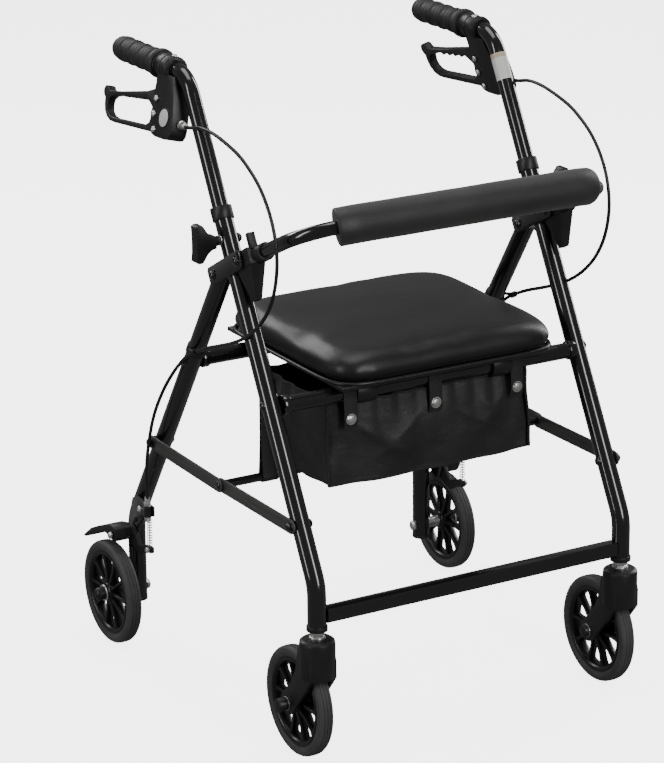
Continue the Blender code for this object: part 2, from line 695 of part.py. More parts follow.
def caster_fork(side):
    """A round yoke under the leg with its stem, two swept blades, and the axle across them."""
    x = side * LEG_X
    yoke = [
        (0, 0.2300), (0.0062, 0.2300), (0.0062, 0.1840), (0.0200, 0.1830), (0.0236, 0.1805),
        (0.0242, 0.1760), (0.0242, 0.1290), (0, 0.1290),
    ]
    fork = turned(yoke, 24, (x, 0, 0), (0, 0, 1))
    axle_at = (CASTER_TRAIL, WHEEL_R)
    outline = [
        (-0.0160, 0.1520), (-0.0160, 0.1290), (-0.0060, 0.1160), (0.0070, 0.1010), (0.0230, 0.0820),
        (0.0350, 0.0670), (0.0430, 0.0615), (0.0520, 0.0600), (0.0600, 0.0640), (0.0650, 0.0710),
        (0.0655, 0.0800), (0.0600, 0.0890), (0.0480, 0.1000), (0.0350, 0.1150), (0.0250, 0.1330),
        (0.0200, 0.1520), (0.0160, 0.1700), (-0.0100, 0.1700),
    ]
    blades = [plate([outline], 0.0025, side_plane(x + way * 0.0175)) for way in (-1, 1)]
    fork = combine(fork, blades)
    wheel_room = rod((x - 0.0146, *axle_at), (x + 0.0146, *axle_at), WHEEL_R + 0.0045, 32)
    fork = cut(fork, [wheel_room])
    axle = rod((x - 0.0278, *axle_at), (x + 0.0278, *axle_at), 0.0042, 12)
    nut = rod((x + side * 0.0190, *axle_at), (x + side * 0.0345, *axle_at), 0.0085, 12)
    head = rod((x - side * 0.0190, *axle_at), (x - side * 0.0270, *axle_at), 0.0080, 12)
    return combine(fork, [axle, nut, head])


# ---- assembly ----
def build_side(side):
    tag = side_name(side)
    x = side * LEG_X
    node(f"front_leg_{tag}", front_leg(side), PAINT)
    node(f"hinge_bracket_{tag}", hinge_bracket(side), PAINT)
    node(f"leg_collar_{tag}", leg_collar(side), PLASTIC)
    node(f"handle_tube_{tag}", handle_tube(side), PAINT)
    node(f"hand_grip_{tag}", hand_grip(side), RUBBER)
    node(f"brake_housing_{tag}", brake_housing(side), PLASTIC)
    node(f"cable_adjuster_{tag}", cable_adjuster(side), STEEL)
    lever_pivot = housing_plane(side) @ Vector((*LEVER_PIVOT, 0))
    node(f"brake_lever_{tag}", brake_lever(side), PLASTIC, lever_pivot)
    knob, knob_at = height_knob(side)
    node(f"height_knob_{tag}", knob, PLASTIC, knob_at)
    node(f"brake_cable_{tag}", brake_cable(side), SHEATH)
    node(f"backrest_socket_{tag}", backrest_socket(side), PLASTIC, BACK_PIVOT)
    node(f"seat_hinge_clip_{tag}", seat_hinge_clip(side), PLASTIC, (0, *FRONT_BAR))
    node(f"rear_leg_{tag}", rear_leg(side), PAINT, FOLD_PIVOT)
    node(f"brake_bracket_{tag}", brake_bracket(side), PAINT, FOLD_PIVOT)
    node(f"brake_arm_{tag}", brake_arm(side), PLASTIC, (side * BRAKE_X, *BRAKE_PIVOT))
    spring = rod((side * BRAKE_X, 0.4425, 0.1684), (side * BRAKE_X, 0.4425, 0.2126), 0.0036, 12)
    node(f"brake_spring_{tag}", spring, STEEL, FOLD_PIVOT)
    front = brace(BRACE_F, BRACE_M, side * FRONT_BRACE_X, [BRACE_F])
    node(f"front_brace_{tag}", front, BRACE_PAINT, (0, *BRACE_F))
    rear = brace(BRACE_R, BRACE_M, side * REAR_BRACE_X, [BRACE_R])
    node(f"rear_brace_{tag}", rear, BRACE_PAINT, (0, *BRACE_R))
    node(f"caster_fork_{tag}", caster_fork(side), PLASTIC, (x, 0, 0))
    for place, centre in (
        ("caster", (x, CASTER_TRAIL, WHEEL_R)),
        ("rear", (side * REAR_WHEEL_X, REAR_AXLE_Y, WHEEL_R)),
    ):
        node(f"{place}_hub_{tag}", hub(centre), PLASTIC, centre)
        node(f"{place}_tyre_{tag}", tyre(centre), TYRE, centre)


def build_middle():
    inner = LEG_X - LEG_R - GAP
    node("front_crossbar", block((-inner, -0.010, 0.2043), (inner, 0.010, 0.2243)), PAINT)
    node("seat_front_bar", rod((-inner, *FRONT_BAR), (inner, *FRONT_BAR), SEAT_BAR_R), PAINT)
    rear_bar = (rear_leg_y(REAR_BAR_Z), REAR_BAR_Z)
    node("seat_rear_bar", rod((-inner, *rear_bar), (inner, *rear_bar), SEAT_BAR_R), PAINT, FOLD_PIVOT)
    node("bag", bag(), NYLON)
    node("backrest_tube", backrest_tube(), PAINT, BACK_PIVOT)
    node("backrest_pad", backrest_pad(), FOAM, BACK_PIVOT)
    node("seat_pad", seat_pad(), VINYL, (0, *FRONT_BAR))
    node("seat_board", seat_board(), PLASTIC, (0, *FRONT_BAR))
    reach = FRONT_BRACE_X - BRACE_HALF - GAP
    node("cross_rod", rod((-reach, *BRACE_M), (reach, *BRACE_M), 0.0060, 12), PAINT, (0, *BRACE_F))
    node("pull_strap", pull_strap(), NYLON, (0, *BRACE_F))


for this_side in (-1, 1):
    build_side(this_side)
build_middle()
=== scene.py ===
"""Looks of the folding rollator walker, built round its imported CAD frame.

Metres. Lengths along Y are measured from the caster stems, as in the CAD source, and at() moves them into
the row frame. Side -1 is the user's right hand (-X) and side +1 the left hand (+X).
"""

import json
import math

import bmesh
import bpy
from mathutils import Matrix, Vector, noise

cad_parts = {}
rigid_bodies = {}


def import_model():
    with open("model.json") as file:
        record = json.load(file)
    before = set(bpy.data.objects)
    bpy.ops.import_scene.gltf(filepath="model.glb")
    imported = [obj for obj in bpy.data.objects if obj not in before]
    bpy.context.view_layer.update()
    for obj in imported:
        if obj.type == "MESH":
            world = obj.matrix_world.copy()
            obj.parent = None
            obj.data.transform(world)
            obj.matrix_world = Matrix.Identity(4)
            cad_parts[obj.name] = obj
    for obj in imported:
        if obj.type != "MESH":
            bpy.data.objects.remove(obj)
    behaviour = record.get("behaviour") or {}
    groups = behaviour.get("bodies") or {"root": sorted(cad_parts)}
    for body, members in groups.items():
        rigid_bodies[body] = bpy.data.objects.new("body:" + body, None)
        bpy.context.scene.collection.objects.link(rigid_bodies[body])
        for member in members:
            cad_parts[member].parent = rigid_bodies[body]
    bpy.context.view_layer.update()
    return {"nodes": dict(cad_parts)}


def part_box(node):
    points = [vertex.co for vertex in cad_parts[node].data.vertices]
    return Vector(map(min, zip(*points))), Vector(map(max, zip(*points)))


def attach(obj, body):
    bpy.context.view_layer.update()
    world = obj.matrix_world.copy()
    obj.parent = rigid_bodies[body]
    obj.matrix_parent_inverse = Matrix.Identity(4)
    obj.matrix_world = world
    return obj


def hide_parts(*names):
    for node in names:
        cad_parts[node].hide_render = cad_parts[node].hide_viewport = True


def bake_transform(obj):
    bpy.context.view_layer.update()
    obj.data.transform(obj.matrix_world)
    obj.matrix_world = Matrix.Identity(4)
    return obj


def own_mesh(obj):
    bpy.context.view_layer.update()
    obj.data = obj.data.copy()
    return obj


for leftover in list(bpy.data.objects):
    bpy.data.objects.remove(leftover, do_unlink=True)

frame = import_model()

# ---- sizes shared with the CAD source ----
crossbar_low, crossbar_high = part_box("front_crossbar")
STEM_Y = (crossbar_low.y + crossbar_high.y) / 2
LEG_X = 0.2408
LEG_R = 0.0127
HANDLE_R = 0.0111
LEG_BEND_Z = 0.2556
LEG_SLOPE = 0.541
LEG_TILT = math.atan(LEG_SLOPE)
LEG_BOTTOM_Z = 0.1948
LEG_TOP_Z = 0.7075
COLLAR_Z = 0.7030
BRACKET_Z = 0.6388
BOLT_OFFSET = 0.0375
WHEEL_R = 0.076
RIM_R = 0.0615
CASTER_TRAIL = 0.0495
REAR_AXLE_Y = 0.5268
REAR_WHEEL_X = 0.2826
REAR_SLOPE = 0.655
GRIP_Z = 0.8735
HOUSING_TILT = math.radians(15)
FRONT_BAR = (0.108, 0.472)
REAR_BAR_Z = 0.474
SEAT_BAR_R = 0.011
SEAT_HALF = 0.179
SEAT_MIDDLE_X = 0.013
SEAT_Y = (0.064, 0.405)
SEAT_Z = (0.4925, 0.528)
BRACE_F = (0.0396, 0.3291)
BRACE_M = (0.2331, 0.3267)
BRACE_R = (0.4328, 0.3285)
BACK_X = 0.2365
BACK_TUBE_R = 0.0095
BACK_PAD = (0.021, 0.730)
BACK_PAD_R = 0.025
BACK_PAD_HALF = 0.192
BACK_BEND = 0.070
BAG_Z = (0.346, 0.454)
BAG_Y = (0.103, 0.300)
BAG_HALF = 0.160
BRAKE_X = 0.262
FOLD_STRAP_X = -0.182
BRAKE_PIVOT = (0.506, 0.171)
CABLE_R = 0.0025
KNOB_Z = 0.672


def leg_y(z):
    return LEG_SLOPE * (z - LEG_BEND_Z)


LEG_UP = Vector((0, math.sin(LEG_TILT), math.cos(LEG_TILT)))
LEG_ACROSS = Vector((0, math.cos(LEG_TILT), -math.sin(LEG_TILT)))
BRACKET = Vector((0, leg_y(BRACKET_Z), BRACKET_Z))
BACK_PIVOT = BRACKET - LEG_ACROSS * BOLT_OFFSET
FOLD_PIVOT = BRACKET + LEG_ACROSS * BOLT_OFFSET
REAR_DOWN = Vector((0, REAR_SLOPE, -1)).normalized()


def rear_leg_y(z):
    return FOLD_PIVOT.y + REAR_SLOPE * (FOLD_PIVOT.z - z)


def at(x, y, z):
    return Vector((x, y + STEM_Y, z))


# ---- camera ----
CAMERA_AT = (-2.1563, -3.3929, 1.8310)
CAMERA_YAW = 0.5198
CAMERA_PITCH = 0.3206
CAMERA_ROLL = 0.0098
LENS_PIXELS = 3219.2
LONG_SIDE = 763
SENSOR = 36.0


def make_camera():
    data = bpy.data.cameras.new("camera")
    data.sensor_width = SENSOR
    data.lens = LENS_PIXELS * SENSOR / LONG_SIDE
    data.clip_start = 0.05
    data.clip_end = 100
    camera = bpy.data.objects.new("camera", data)
    bpy.context.scene.collection.objects.link(camera)
    ahead = Vector((
        math.sin(CAMERA_YAW) * math.cos(CAMERA_PITCH),
        math.cos(CAMERA_YAW) * math.cos(CAMERA_PITCH),
        -math.sin(CAMERA_PITCH),
    ))
    level = Vector((math.cos(CAMERA_YAW), -math.sin(CAMERA_YAW), 0))
    down = ahead.cross(level)
    right = level * math.cos(CAMERA_ROLL) + down * math.sin(CAMERA_ROLL)
    up = right.cross(ahead)
    camera.matrix_world = Matrix((right, up, -ahead)).transposed().to_4x4()
    camera.location = at(*CAMERA_AT)
    bpy.context.scene.camera = camera


# ---- materials ----
def shader(name, colour, roughness, metallic=0.0):
    made = bpy.data.materials.new(name)
    made.use_nodes = True
    principled = made.node_tree.nodes["Principled BSDF"]
    principled.inputs["Base Color"].default_value = (*colour, 1)
    principled.inputs["Roughness"].default_value = roughness
    principled.inputs["Metallic"].default_value = metallic
    return made


def add_node(material, kind, **inputs):
    made = material.node_tree.nodes.new(kind)
    for name, value in inputs.items():
        made.inputs[name.replace("_", " ")].default_value = value
    return made


def coordinates(material, stretch=(1, 1, 1)):
    """The piece's own coordinates, stretched along its axes."""
    place = add_node(material, "ShaderNodeTexCoord")
    mapping = add_node(material, "ShaderNodeMapping", Scale=stretch)
    material.node_tree.links.new(place.outputs["Object"], mapping.inputs["Vector"])
    return mapping.outputs["Vector"]


def noise_field(material, scale, detail=3.0, stretch=(1, 1, 1)):
    made = add_node(material, "ShaderNodeTexNoise", Scale=scale, Detail=detail)
    material.node_tree.links.new(coordinates(material, stretch), made.inputs["Vector"])
    return made.outputs["Fac"]


def cells(material, scale):
    made = add_node(material, "ShaderNodeTexVoronoi", Scale=scale)
    material.node_tree.links.new(coordinates(material), made.inputs["Vector"])
    return made.outputs["Distance"]


def ribs(material, scale, direction):
    made = add_node(material, "ShaderNodeTexWave", Scale=scale)
    made.bands_direction = direction
    material.node_tree.links.new(coordinates(material), made.inputs["Vector"])
    return made.outputs["Fac"]


def mixed(material, first, second, operation="MULTIPLY"):
    made = add_node(material, "ShaderNodeMath")
    made.operation = operation
    material.node_tree.links.new(first, made.inputs[0])
    material.node_tree.links.new(second, made.inputs[1])
    return made.outputs[0]


def vary_roughness(material, field, low, high):
    ranged = add_node(material, "ShaderNodeMapRange", To_Min=low, To_Max=high)
    links = material.node_tree.links
    links.new(field, ranged.inputs["Value"])
    links.new(ranged.outputs["Result"], material.node_tree.nodes["Principled BSDF"].inputs["Roughness"])


def vary_colour(material, field, dark, light, edges=(0.3, 0.7)):
    ramp = add_node(material, "ShaderNodeValToRGB")
    ramp.color_ramp.elements[0].position, ramp.color_ramp.elements[1].position = edges
    ramp.color_ramp.elements[0].color = (*dark, 1)
    ramp.color_ramp.elements[1].color = (*light, 1)
    links = material.node_tree.links
    links.new(field, ramp.inputs["Fac"])
    links.new(ramp.outputs["Color"], material.node_tree.nodes["Principled BSDF"].inputs["Base Color"])


def bump(material, field, strength, distance):
    """Adds a bump layer over any that is already there."""
    tree = material.node_tree
    normal = tree.nodes["Principled BSDF"].inputs["Normal"]
    made = add_node(material, "ShaderNodeBump", Strength=strength, Distance=distance)
    if normal.is_linked:
        tree.links.new(normal.links[0].from_socket, made.inputs["Normal"])
    tree.links.new(field, made.inputs["Height"])
    tree.links.new(made.outputs["Normal"], normal)


def gloss_paint():
    made = shader("gloss_paint", (0.006, 0.006, 0.007), 0.16)
    principled = made.node_tree.nodes["Principled BSDF"]
    principled.inputs["Coat Weight"].default_value = 0.8
    principled.inputs["Coat Roughness"].default_value = 0.06
    vary_roughness(made, noise_field(made, 18), 0.12, 0.24)
    vary_colour(made, noise_field(made, 6), (0.005, 0.005, 0.006), (0.009, 0.009, 0.009))
    bump(made, noise_field(made, 420, 2), 0.05, 0.0004)
    return made


def brace_paint():
    made = shader("brace_paint", (0.05, 0.05, 0.048), 0.36, 0.3)
    vary_colour(made, noise_field(made, 9), (0.070, 0.070, 0.068), (0.100, 0.098, 0.095))
    vary_roughness(made, noise_field(made, 60), 0.30, 0.44)
    bump(made, noise_field(made, 900, 2), 0.12, 0.0003)
    return made


def moulded_plastic(name="moulded_plastic", colour=(0.011, 0.011, 0.012), low=0.36, high=0.50):
    made = shader(name, colour, 0.42)
    vary_colour(made, noise_field(made, 25), tuple(c * 0.85 for c in colour),
        tuple(c * 1.35 for c in colour))
    vary_roughness(made, noise_field(made, 40), low, high)
    bump(made, cells(made, 1400), 0.10, 0.0002)
    bump(made, noise_field(made, 90), 0.06, 0.0006)
    return made


def grip_rubber():
    made = shader("grip_rubber", (0.014, 0.014, 0.014), 0.55)
    vary_colour(made, noise_field(made, 30), (0.011, 0.011, 0.011), (0.024, 0.023, 0.022))
    vary_roughness(made, noise_field(made, 55), 0.46, 0.64)
    bump(made, cells(made, 900), 0.30, 0.0004)
    return made


def tyre_rubber():
    made = shader("tyre_rubber", (0.030, 0.030, 0.031), 0.62)
    vary_colour(made, noise_field(made, 22, 5), (0.045, 0.045, 0.046), (0.082, 0.081, 0.079))
    vary_roughness(made, noise_field(made, 70), 0.52, 0.74)
    bump(made, noise_field(made, 1100, 3), 0.22, 0.0003)
    return made


def bright_steel():
    made = shader("bright_steel", (0.80, 0.80, 0.78), 0.30, 1.0)
    vary_colour(made, noise_field(made, 60), (0.70, 0.70, 0.68), (0.90, 0.89, 0.87))
    vary_roughness(made, noise_field(made, 300, 3, (1, 1, 6)), 0.24, 0.42)
    bump(made, noise_field(made, 700, 2, (1, 1, 8)), 0.08, 0.0002)
    return made


def vinyl():
    made = shader("seat_vinyl", (0.006, 0.006, 0.006), 0.38)
    made.node_tree.nodes["Principled BSDF"].inputs["Sheen Weight"].default_value = 0.03
    vary_colour(made, noise_field(made, 12, 4), (0.005, 0.005, 0.005), (0.009, 0.009, 0.009))
    vary_roughness(made, noise_field(made, 26, 4), 0.33, 0.47)
    bump(made, cells(made, 620), 0.22, 0.0004)
    bump(made, noise_field(made, 34, 3), 0.16, 0.0016)
    return made


def foam():
    made = shader("backrest_foam", (0.022, 0.021, 0.021), 0.52)
    made.node_tree.nodes["Principled BSDF"].inputs["Sheen Weight"].default_value = 0.15
    vary_colour(made, noise_field(made, 16, 4), (0.018, 0.017, 0.017), (0.030, 0.029, 0.028))
    vary_roughness(made, noise_field(made, 90), 0.44, 0.60)
    bump(made, cells(made, 1500), 0.20, 0.0003)
    return made


def nylon():
    made = shader("bag_nylon", (0.014, 0.014, 0.015), 0.55)
    made.node_tree.nodes["Principled BSDF"].inputs["Sheen Weight"].default_value = 0.08
    weave = mixed(made, ribs(made, 420, "X"), ribs(made, 420, "Z"))
    vary_colour(made, noise_field(made, 20, 4), (0.010, 0.010, 0.011), (0.022, 0.022, 0.022))
    vary_roughness(made, noise_field(made, 45, 3), 0.40, 0.62)
    bump(made, weave, 0.30, 0.0003)
    bump(made, noise_field(made, 28, 4, (1, 1, 2.2)), 0.35, 0.004)
    return made


def webbing():
    made = shader("webbing", (0.020, 0.020, 0.020), 0.65)
    weave = mixed(made, ribs(made, 300, "X"), ribs(made, 260, "Z"))
    vary_colour(made, weave, (0.010, 0.010, 0.010), (0.034, 0.034, 0.034))
    vary_roughness(made, noise_field(made, 80), 0.58, 0.74)
    bump(made, weave, 0.5, 0.0005)
    return made


def sheath():
    made = shader("cable_sheath", (0.010, 0.010, 0.010), 0.34)
    vary_colour(made, noise_field(made, 40), (0.008, 0.008, 0.008), (0.016, 0.016, 0.016))
    vary_roughness(made, noise_field(made, 120), 0.28, 0.42)
    bump(made, noise_field(made, 600, 2), 0.10, 0.0002)
    return made


def paper(name, colour):
    made = shader(name, colour, 0.38)
    vary_colour(made, noise_field(made, 70), tuple(c * 0.93 for c in colour), colour)
    vary_roughness(made, noise_field(made, 150), 0.30, 0.46)
    bump(made, noise_field(made, 800, 2), 0.05, 0.0002)
    return made


LOOK = {
    "black_paint": gloss_paint(),
    "brace_paint": brace_paint(),
    "black_plastic": moulded_plastic(),
    "grip_rubber": grip_rubber(),
    "tyre_rubber": tyre_rubber(),
    "bright_steel": bright_steel(),
    "seat_vinyl": vinyl(),
    "backrest_foam": foam(),
    "bag_nylon": nylon(),
    "webbing": webbing(),
    "cable_sheath": sheath(),
}
HUB_PLASTIC = moulded_plastic("hub_plastic", (0.009, 0.009, 0.010), 0.24, 0.36)
LABEL_WHITE = paper("label_white", (0.78, 0.78, 0.76))
LABEL_TAN = paper("label_tan", (0.62, 0.50, 0.36))


# ---- shape helpers ----
def closed_mesh(work, name):
    """The finished mesh of a bmesh, with its faces turned outwards."""
    bmesh.ops.recalc_face_normals(work, faces=work.faces)
    mesh = bpy.data.meshes.new(name)
    work.to_mesh(mesh)
    work.free()
    return mesh


def bridge(work, rings):
    """Joins neighbouring rings of the same number of vertices with quads."""
    for before, after in zip(rings, rings[1:]):
        for step in range(len(before)):
            nxt = (step + 1) % len(before)
            work.faces.new((before[step], before[nxt], after[nxt], after[step]))


def linked(name, data, matrix=None):
    made = bpy.data.objects.new(name, data)
    made.matrix_world = matrix or Matrix.Identity(4)
    bpy.context.scene.collection.objects.link(made)
    return made


def as_mesh(made):
    """The evaluated object as a welded mesh object in place."""
    bpy.context.view_layer.update()
    graph = bpy.context.evaluated_depsgraph_get()
    mesh = bpy.data.meshes.new_from_object(made.evaluated_get(graph))
    mesh.transform(made.matrix_world)
    name = made.name
    bpy.data.objects.remove(made, do_unlink=True)
    work = bmesh.new()
    work.from_mesh(mesh)
    bmesh.ops.remove_doubles(work, verts=work.verts, dist=0.00001)
    work.to_mesh(mesh)
    work.free()
    return linked(name, mesh)


def piece(name, made, body, slot, look=None, stands_for=(), angle=35):
    """Names the mesh, shades it, gives it its look and puts it on its body."""
    made.name = name
    made.data.name = name
    made.data.materials.clear()
    made.data.materials.append(look or LOOK[slot])
    made.data.shade_smooth()
    made.data.set_sharp_from_angle(angle=math.radians(angle))
    if stands_for:
        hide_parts(*stands_for)
    if body:
        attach(made, body)
    return made


def joined(pieces):
    """Several loose shapes as one mesh object."""
    work = bmesh.new()
    for made in pieces:
        made.data.transform(made.matrix_world)
        work.from_mesh(made.data)
        bpy.data.objects.remove(made, do_unlink=True)
    mesh = bpy.data.meshes.new("joined")
    work.to_mesh(mesh)
    work.free()
    return linked("joined", mesh)


def frame_of(origin_point, x_axis, y_axis):
    x = Vector(x_axis).normalized()
    y = Vector(y_axis).normalized()
    made = Matrix((x, y, x.cross(y))).transposed().to_4x4()
    made.translation = Vector(origin_point)
    return made


def rounded(corners, radius, steps=14):
    corners = [Vector(c) for c in corners]
    path = [corners[0]]
    for before, corner, after in zip(corners, corners[1:], corners[2:]):
        into = (corner - before).normalized()
        out = (after - corner).normalized()
        turn = into.angle(out)
        start = corner - into * radius * math.tan(turn / 2)
        normal = into.cross(out).normalized()
        centre = start + normal.cross(into) * radius
        for step in range(steps + 1):
            spin = Matrix.Rotation(turn * step / steps, 3, normal)
            path.append(centre + spin @ (start - centre))
    return path + [corners[-1]]


def smooth_path(points, steps=6):
    """A Catmull-Rom curve through the points."""
    points = [Vector(p) for p in points]
    ends = [points[0] * 2 - points[1]] + points + [points[-1] * 2 - points[-2]]
    path = []
    for a, b, c, d in zip(ends, ends[1:], ends[2:], ends[3:]):
        for step in range(steps):
            t = step / steps
            path.append(0.5 * (
                2 * b + (c - a) * t + (2 * a - 5 * b + 4 * c - d) * t * t + (3 * b - a - 3 * c + d) * t ** 3
            ))
    return path + [points[-1]]


def pipe(path, radius, sides=32):
    curve = bpy.data.curves.new("pipe", "CURVE")
    curve.dimensions = "3D"
    curve.bevel_depth = radius
    curve.bevel_resolution = (sides - 4) // 2
    curve.use_fill_caps = True
    spline = curve.splines.new("POLY")
    spline.points.add(len(path) - 1)
    for point, place in zip(spline.points, path):
        point.co = (*place, 1)
    return as_mesh(linked("pipe", curve))


def disc(start, end, radius, sides=24, bevel=0.0006):
    """A short cylinder with softened edges."""
    start, end = Vector(start), Vector(end)
    mesh = bpy.data.meshes.new("disc")
    work = bmesh.new()
    turn = (end - start).to_track_quat("Z", "Y").to_matrix().to_4x4()
    bmesh.ops.create_cone(
        work, cap_ends=True, segments=sides, radius1=radius, radius2=radius,
        depth=(end - start).length, matrix=Matrix.Translation((start + end) / 2) @ turn,
    )
    if bevel:
        rims = [e for e in work.edges if any(len(f.verts) > 4 for f in e.link_faces)]
        bmesh.ops.bevel(work, geom=rims, offset=bevel, segments=2, affect="EDGES", profile=0.5)
    work.to_mesh(mesh)
    work.free()
    return linked("disc", mesh)


def turned(profile, steps, start, axis):
    """(radius, distance) pairs, far end first, turned about the axis; a loop if it starts off the axis."""
    mesh = bpy.data.meshes.new("turned")
    edges = [(i, i + 1) for i in range(len(profile) - 1)]
    if profile[0][0] > 0:
        edges.append((len(profile) - 1, 0))
    mesh.from_pydata([(radius, 0, height) for radius, height in profile], edges, [])
    turn = Vector(axis).to_track_quat("Z", "Y").to_matrix().to_4x4()
    made = linked("turned", mesh, Matrix.Translation(start) @ turn)
    screw = made.modifiers.new("turn", "SCREW")
    screw.steps = steps
    screw.render_steps = steps
    screw.use_merge_vertices = True
    screw.merge_threshold = 0.00001
    return as_mesh(made)


def dome(centre, axis, radius, height, sides=20):
    """A button bolt head with a hex socket's shallow dimple."""
    profile = [(0, height * 0.80), (radius * 0.26, height * 0.80), (radius * 0.34, height)]
    for step in range(1, 7):
        angle = math.pi / 2 * step / 6
        profile.append((radius * (0.34 + 0.66 * math.sin(angle)), height * math.cos(angle)))
    profile.append((0, 0))
    return turned(profile, sides, centre, axis)


def nut(centre, axis, radius, height):
    """A hexagonal lock nut with a rounded collar and a bolt end."""
    axis = Vector(axis).normalized()
    centre = Vector(centre)
    body = disc(centre, centre + axis * height * 0.65, radius, 6, 0.0004)
    collar = turned(
        [(0, height), (radius * 0.45, height), (radius * 0.70, height * 0.85),
            (radius * 0.78, height * 0.6), (0, height * 0.6)],
        18, centre, axis,
    )
    return joined([body, collar])


def washer(centre, axis, radius, thickness=0.0012):
    return disc(Vector(centre), Vector(centre) + Vector(axis).normalized() * thickness, radius, 24, 0.0003)


def soften(node, slot, width=0.0008, look=None, segments=2, angle=30):
    """A CAD node with its facets merged, its edges rounded and its material given."""
    made = frame["nodes"][node]
    weld = made.modifiers.new("weld", "WELD")
    weld.merge_threshold = 0.00002
    merge = made.modifiers.new("merge_facets", "DECIMATE")
    merge.decimate_type = "DISSOLVE"
    merge.angle_limit = math.radians(2)
    bevel = made.modifiers.new("round_edges", "BEVEL")
    bevel.width = width
    bevel.segments = segments
    bevel.limit_method = "ANGLE"
    bevel.angle_limit = math.radians(angle)
    bevel.use_clamp_overlap = True
    bevel.harden_normals = True
    for face in made.data.polygons:
        face.use_smooth = True
    made.data.materials.clear()
    made.data.materials.append(look or LOOK[slot])


def side_name(side):
    return "left" if side > 0 else "right"


# ---- frame tubes ----
def frame_tubes(side):
    tag, x = side_name(side), side * LEG_X
    leg = rounded(
        [at(x, 0, LEG_BOTTOM_Z), at(x, 0, LEG_BEND_Z), at(x, leg_y(LEG_TOP_Z - 0.004), LEG_TOP_Z - 0.004)],
        0.06
    )
    piece(f"leg_tube_{tag}", pipe(leg, LEG_R), "front_frame", "black_paint", stands_for=[f"front_leg_{tag}"])
    top = at(x, leg_y(COLLAR_Z), COLLAR_Z)
    handle = rounded([top - LEG_UP * 0.150, at(x, leg_y(GRIP_Z), GRIP_Z), at(x, 0.5280, GRIP_Z)], 0.05)
    piece(
        f"handle_bend_{tag}", pipe(handle, HANDLE_R), f"handle_{tag}", "black_paint",
        stands_for=[f"handle_tube_{tag}"],
    )
    bend_z = FOLD_PIVOT.z - (REAR_AXLE_Y - FOLD_PIVOT.y) / REAR_SLOPE
    start = at(x, FOLD_PIVOT.y, FOLD_PIVOT.z) - REAR_DOWN * 0.0115
    rear = rounded([start, at(x, REAR_AXLE_Y, bend_z), at(x, REAR_AXLE_Y, 0.058)], 0.07)
    piece(f"rear_tube_{tag}", pipe(rear, LEG_R), "rear_frame", "black_paint", stands_for=[f"rear_leg_{tag}"])
    cap = disc(at(x, REAR_AXLE_Y, 0.0555), at(x, REAR_AXLE_Y, 0.0605), 0.0131, 32, 0.0012)
    piece(f"rear_end_cap_{tag}", cap, "rear_frame", "black_plastic")


def cross_tubes():
    inner = LEG_X - LEG_R + 0.0012
    for name, y, z, body, node in (
        ("front_seat_tube", *FRONT_BAR, "front_frame", "seat_front_bar"),
        ("rear_seat_tube", rear_leg_y(REAR_BAR_Z), REAR_BAR_Z, "rear_frame", "seat_rear_bar"),
    ):
        tube = pipe([at(-inner, y, z), at(inner, y, z)], SEAT_BAR_R)
        piece(name, tube, body, "black_paint", stands_for=[node])
        for side in (-1, 1):
            tag = side_name(side)
            collar = disc(at(side * (inner - 0.010), y, z), at(side * inner, y, z), SEAT_BAR_R + 0.0022,
                32, 0.001)
            piece(f"{name}_flange_{tag}", collar, body, "black_paint")
            head = dome(at(side * (LEG_X + LEG_R - 0.0005),
                y + (leg_y(z) - y if body == "front_frame" else 0), z),
                        (side, 0, 0), 0.0062, 0.0034)
            piece(f"{name}_bolt_{tag}", head, body, "bright_steel", LOOK["black_paint"])
    low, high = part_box("front_crossbar")
    mesh = bpy.data.meshes.new("bar")
    work = bmesh.new()
    bmesh.ops.create_cube(work, size=1, matrix=Matrix.Translation((low + high) / 2) @ Matrix.Diagonal((
        high.x - low.x + 0.0024, high.y - low.y, high.z - low.z, 1)))
    long_edges = [e for e in work.edges if abs((e.verts[0].co - e.verts[1].co).x) > 0.1]
    bmesh.ops.bevel(work, geom=long_edges, offset=0.0035, segments=5, affect="EDGES", profile=0.5)
    work.to_mesh(mesh)
    work.free()
    piece("lower_crossbar", linked("bar", mesh), "front_frame", "black_paint",
        stands_for=["front_crossbar"], angle=50)
    rod_x = 0.2537
    rod = pipe([at(-rod_x, *BRACE_M), at(rod_x, *BRACE_M)], 0.0060, 20)
    piece("link_rod", rod, "front_links", "black_paint", stands_for=["cross_rod"])


# ---- handles ----
def housing_plane(side, across=0.0):
    up = Vector((-side * math.sin(HOUSING_TILT), 0, math.cos(HOUSING_TILT)))
    plane = frame_of(at(side * LEG_X, 0, GRIP_Z), (0, 1, 0), up)
    return plane @ Matrix.Translation((0, 0, across))


def below_grip(z):
    return (z - GRIP_Z) / math.cos(HOUSING_TILT)


def grip(side):
    """A rubber grip with a flange, finger swells, cut rings between them and a domed end."""
    tag = side_name(side)
    start, length = 0.4035, 0.1290
    profile = [(0, length)]
    for step in range(1, 6):
        angle = math.pi / 2 * step / 5
        profile.append((0.0155 * math.sin(angle), length - 0.006 + 0.006 * math.cos(angle)))
    count, first, last = 84, length - 0.008, 0.014
    for step in range(count + 1):
        along = first + (last - first) * step / count
        swell = math.sin(math.pi * 4 * (first - along) / (first - last)) ** 2
        ring = 0.0007 if step % 7 == 3 else 0.0
        profile.append((0.0164 + 0.0017 * swell - ring, along))
    profile += [(0.0170, 0.011), (0.0202, 0.009), (0.0207, 0.006), (0.0205, 0.002), (0.0190, 0.0), (0, 0.0)]
    made = turned(profile, 40, at(side * LEG_X, start, GRIP_Z), (0, 1, 0))
    piece(f"grip_{tag}", made, f"handle_{tag}", "grip_rubber", stands_for=[f"hand_grip_{tag}"])


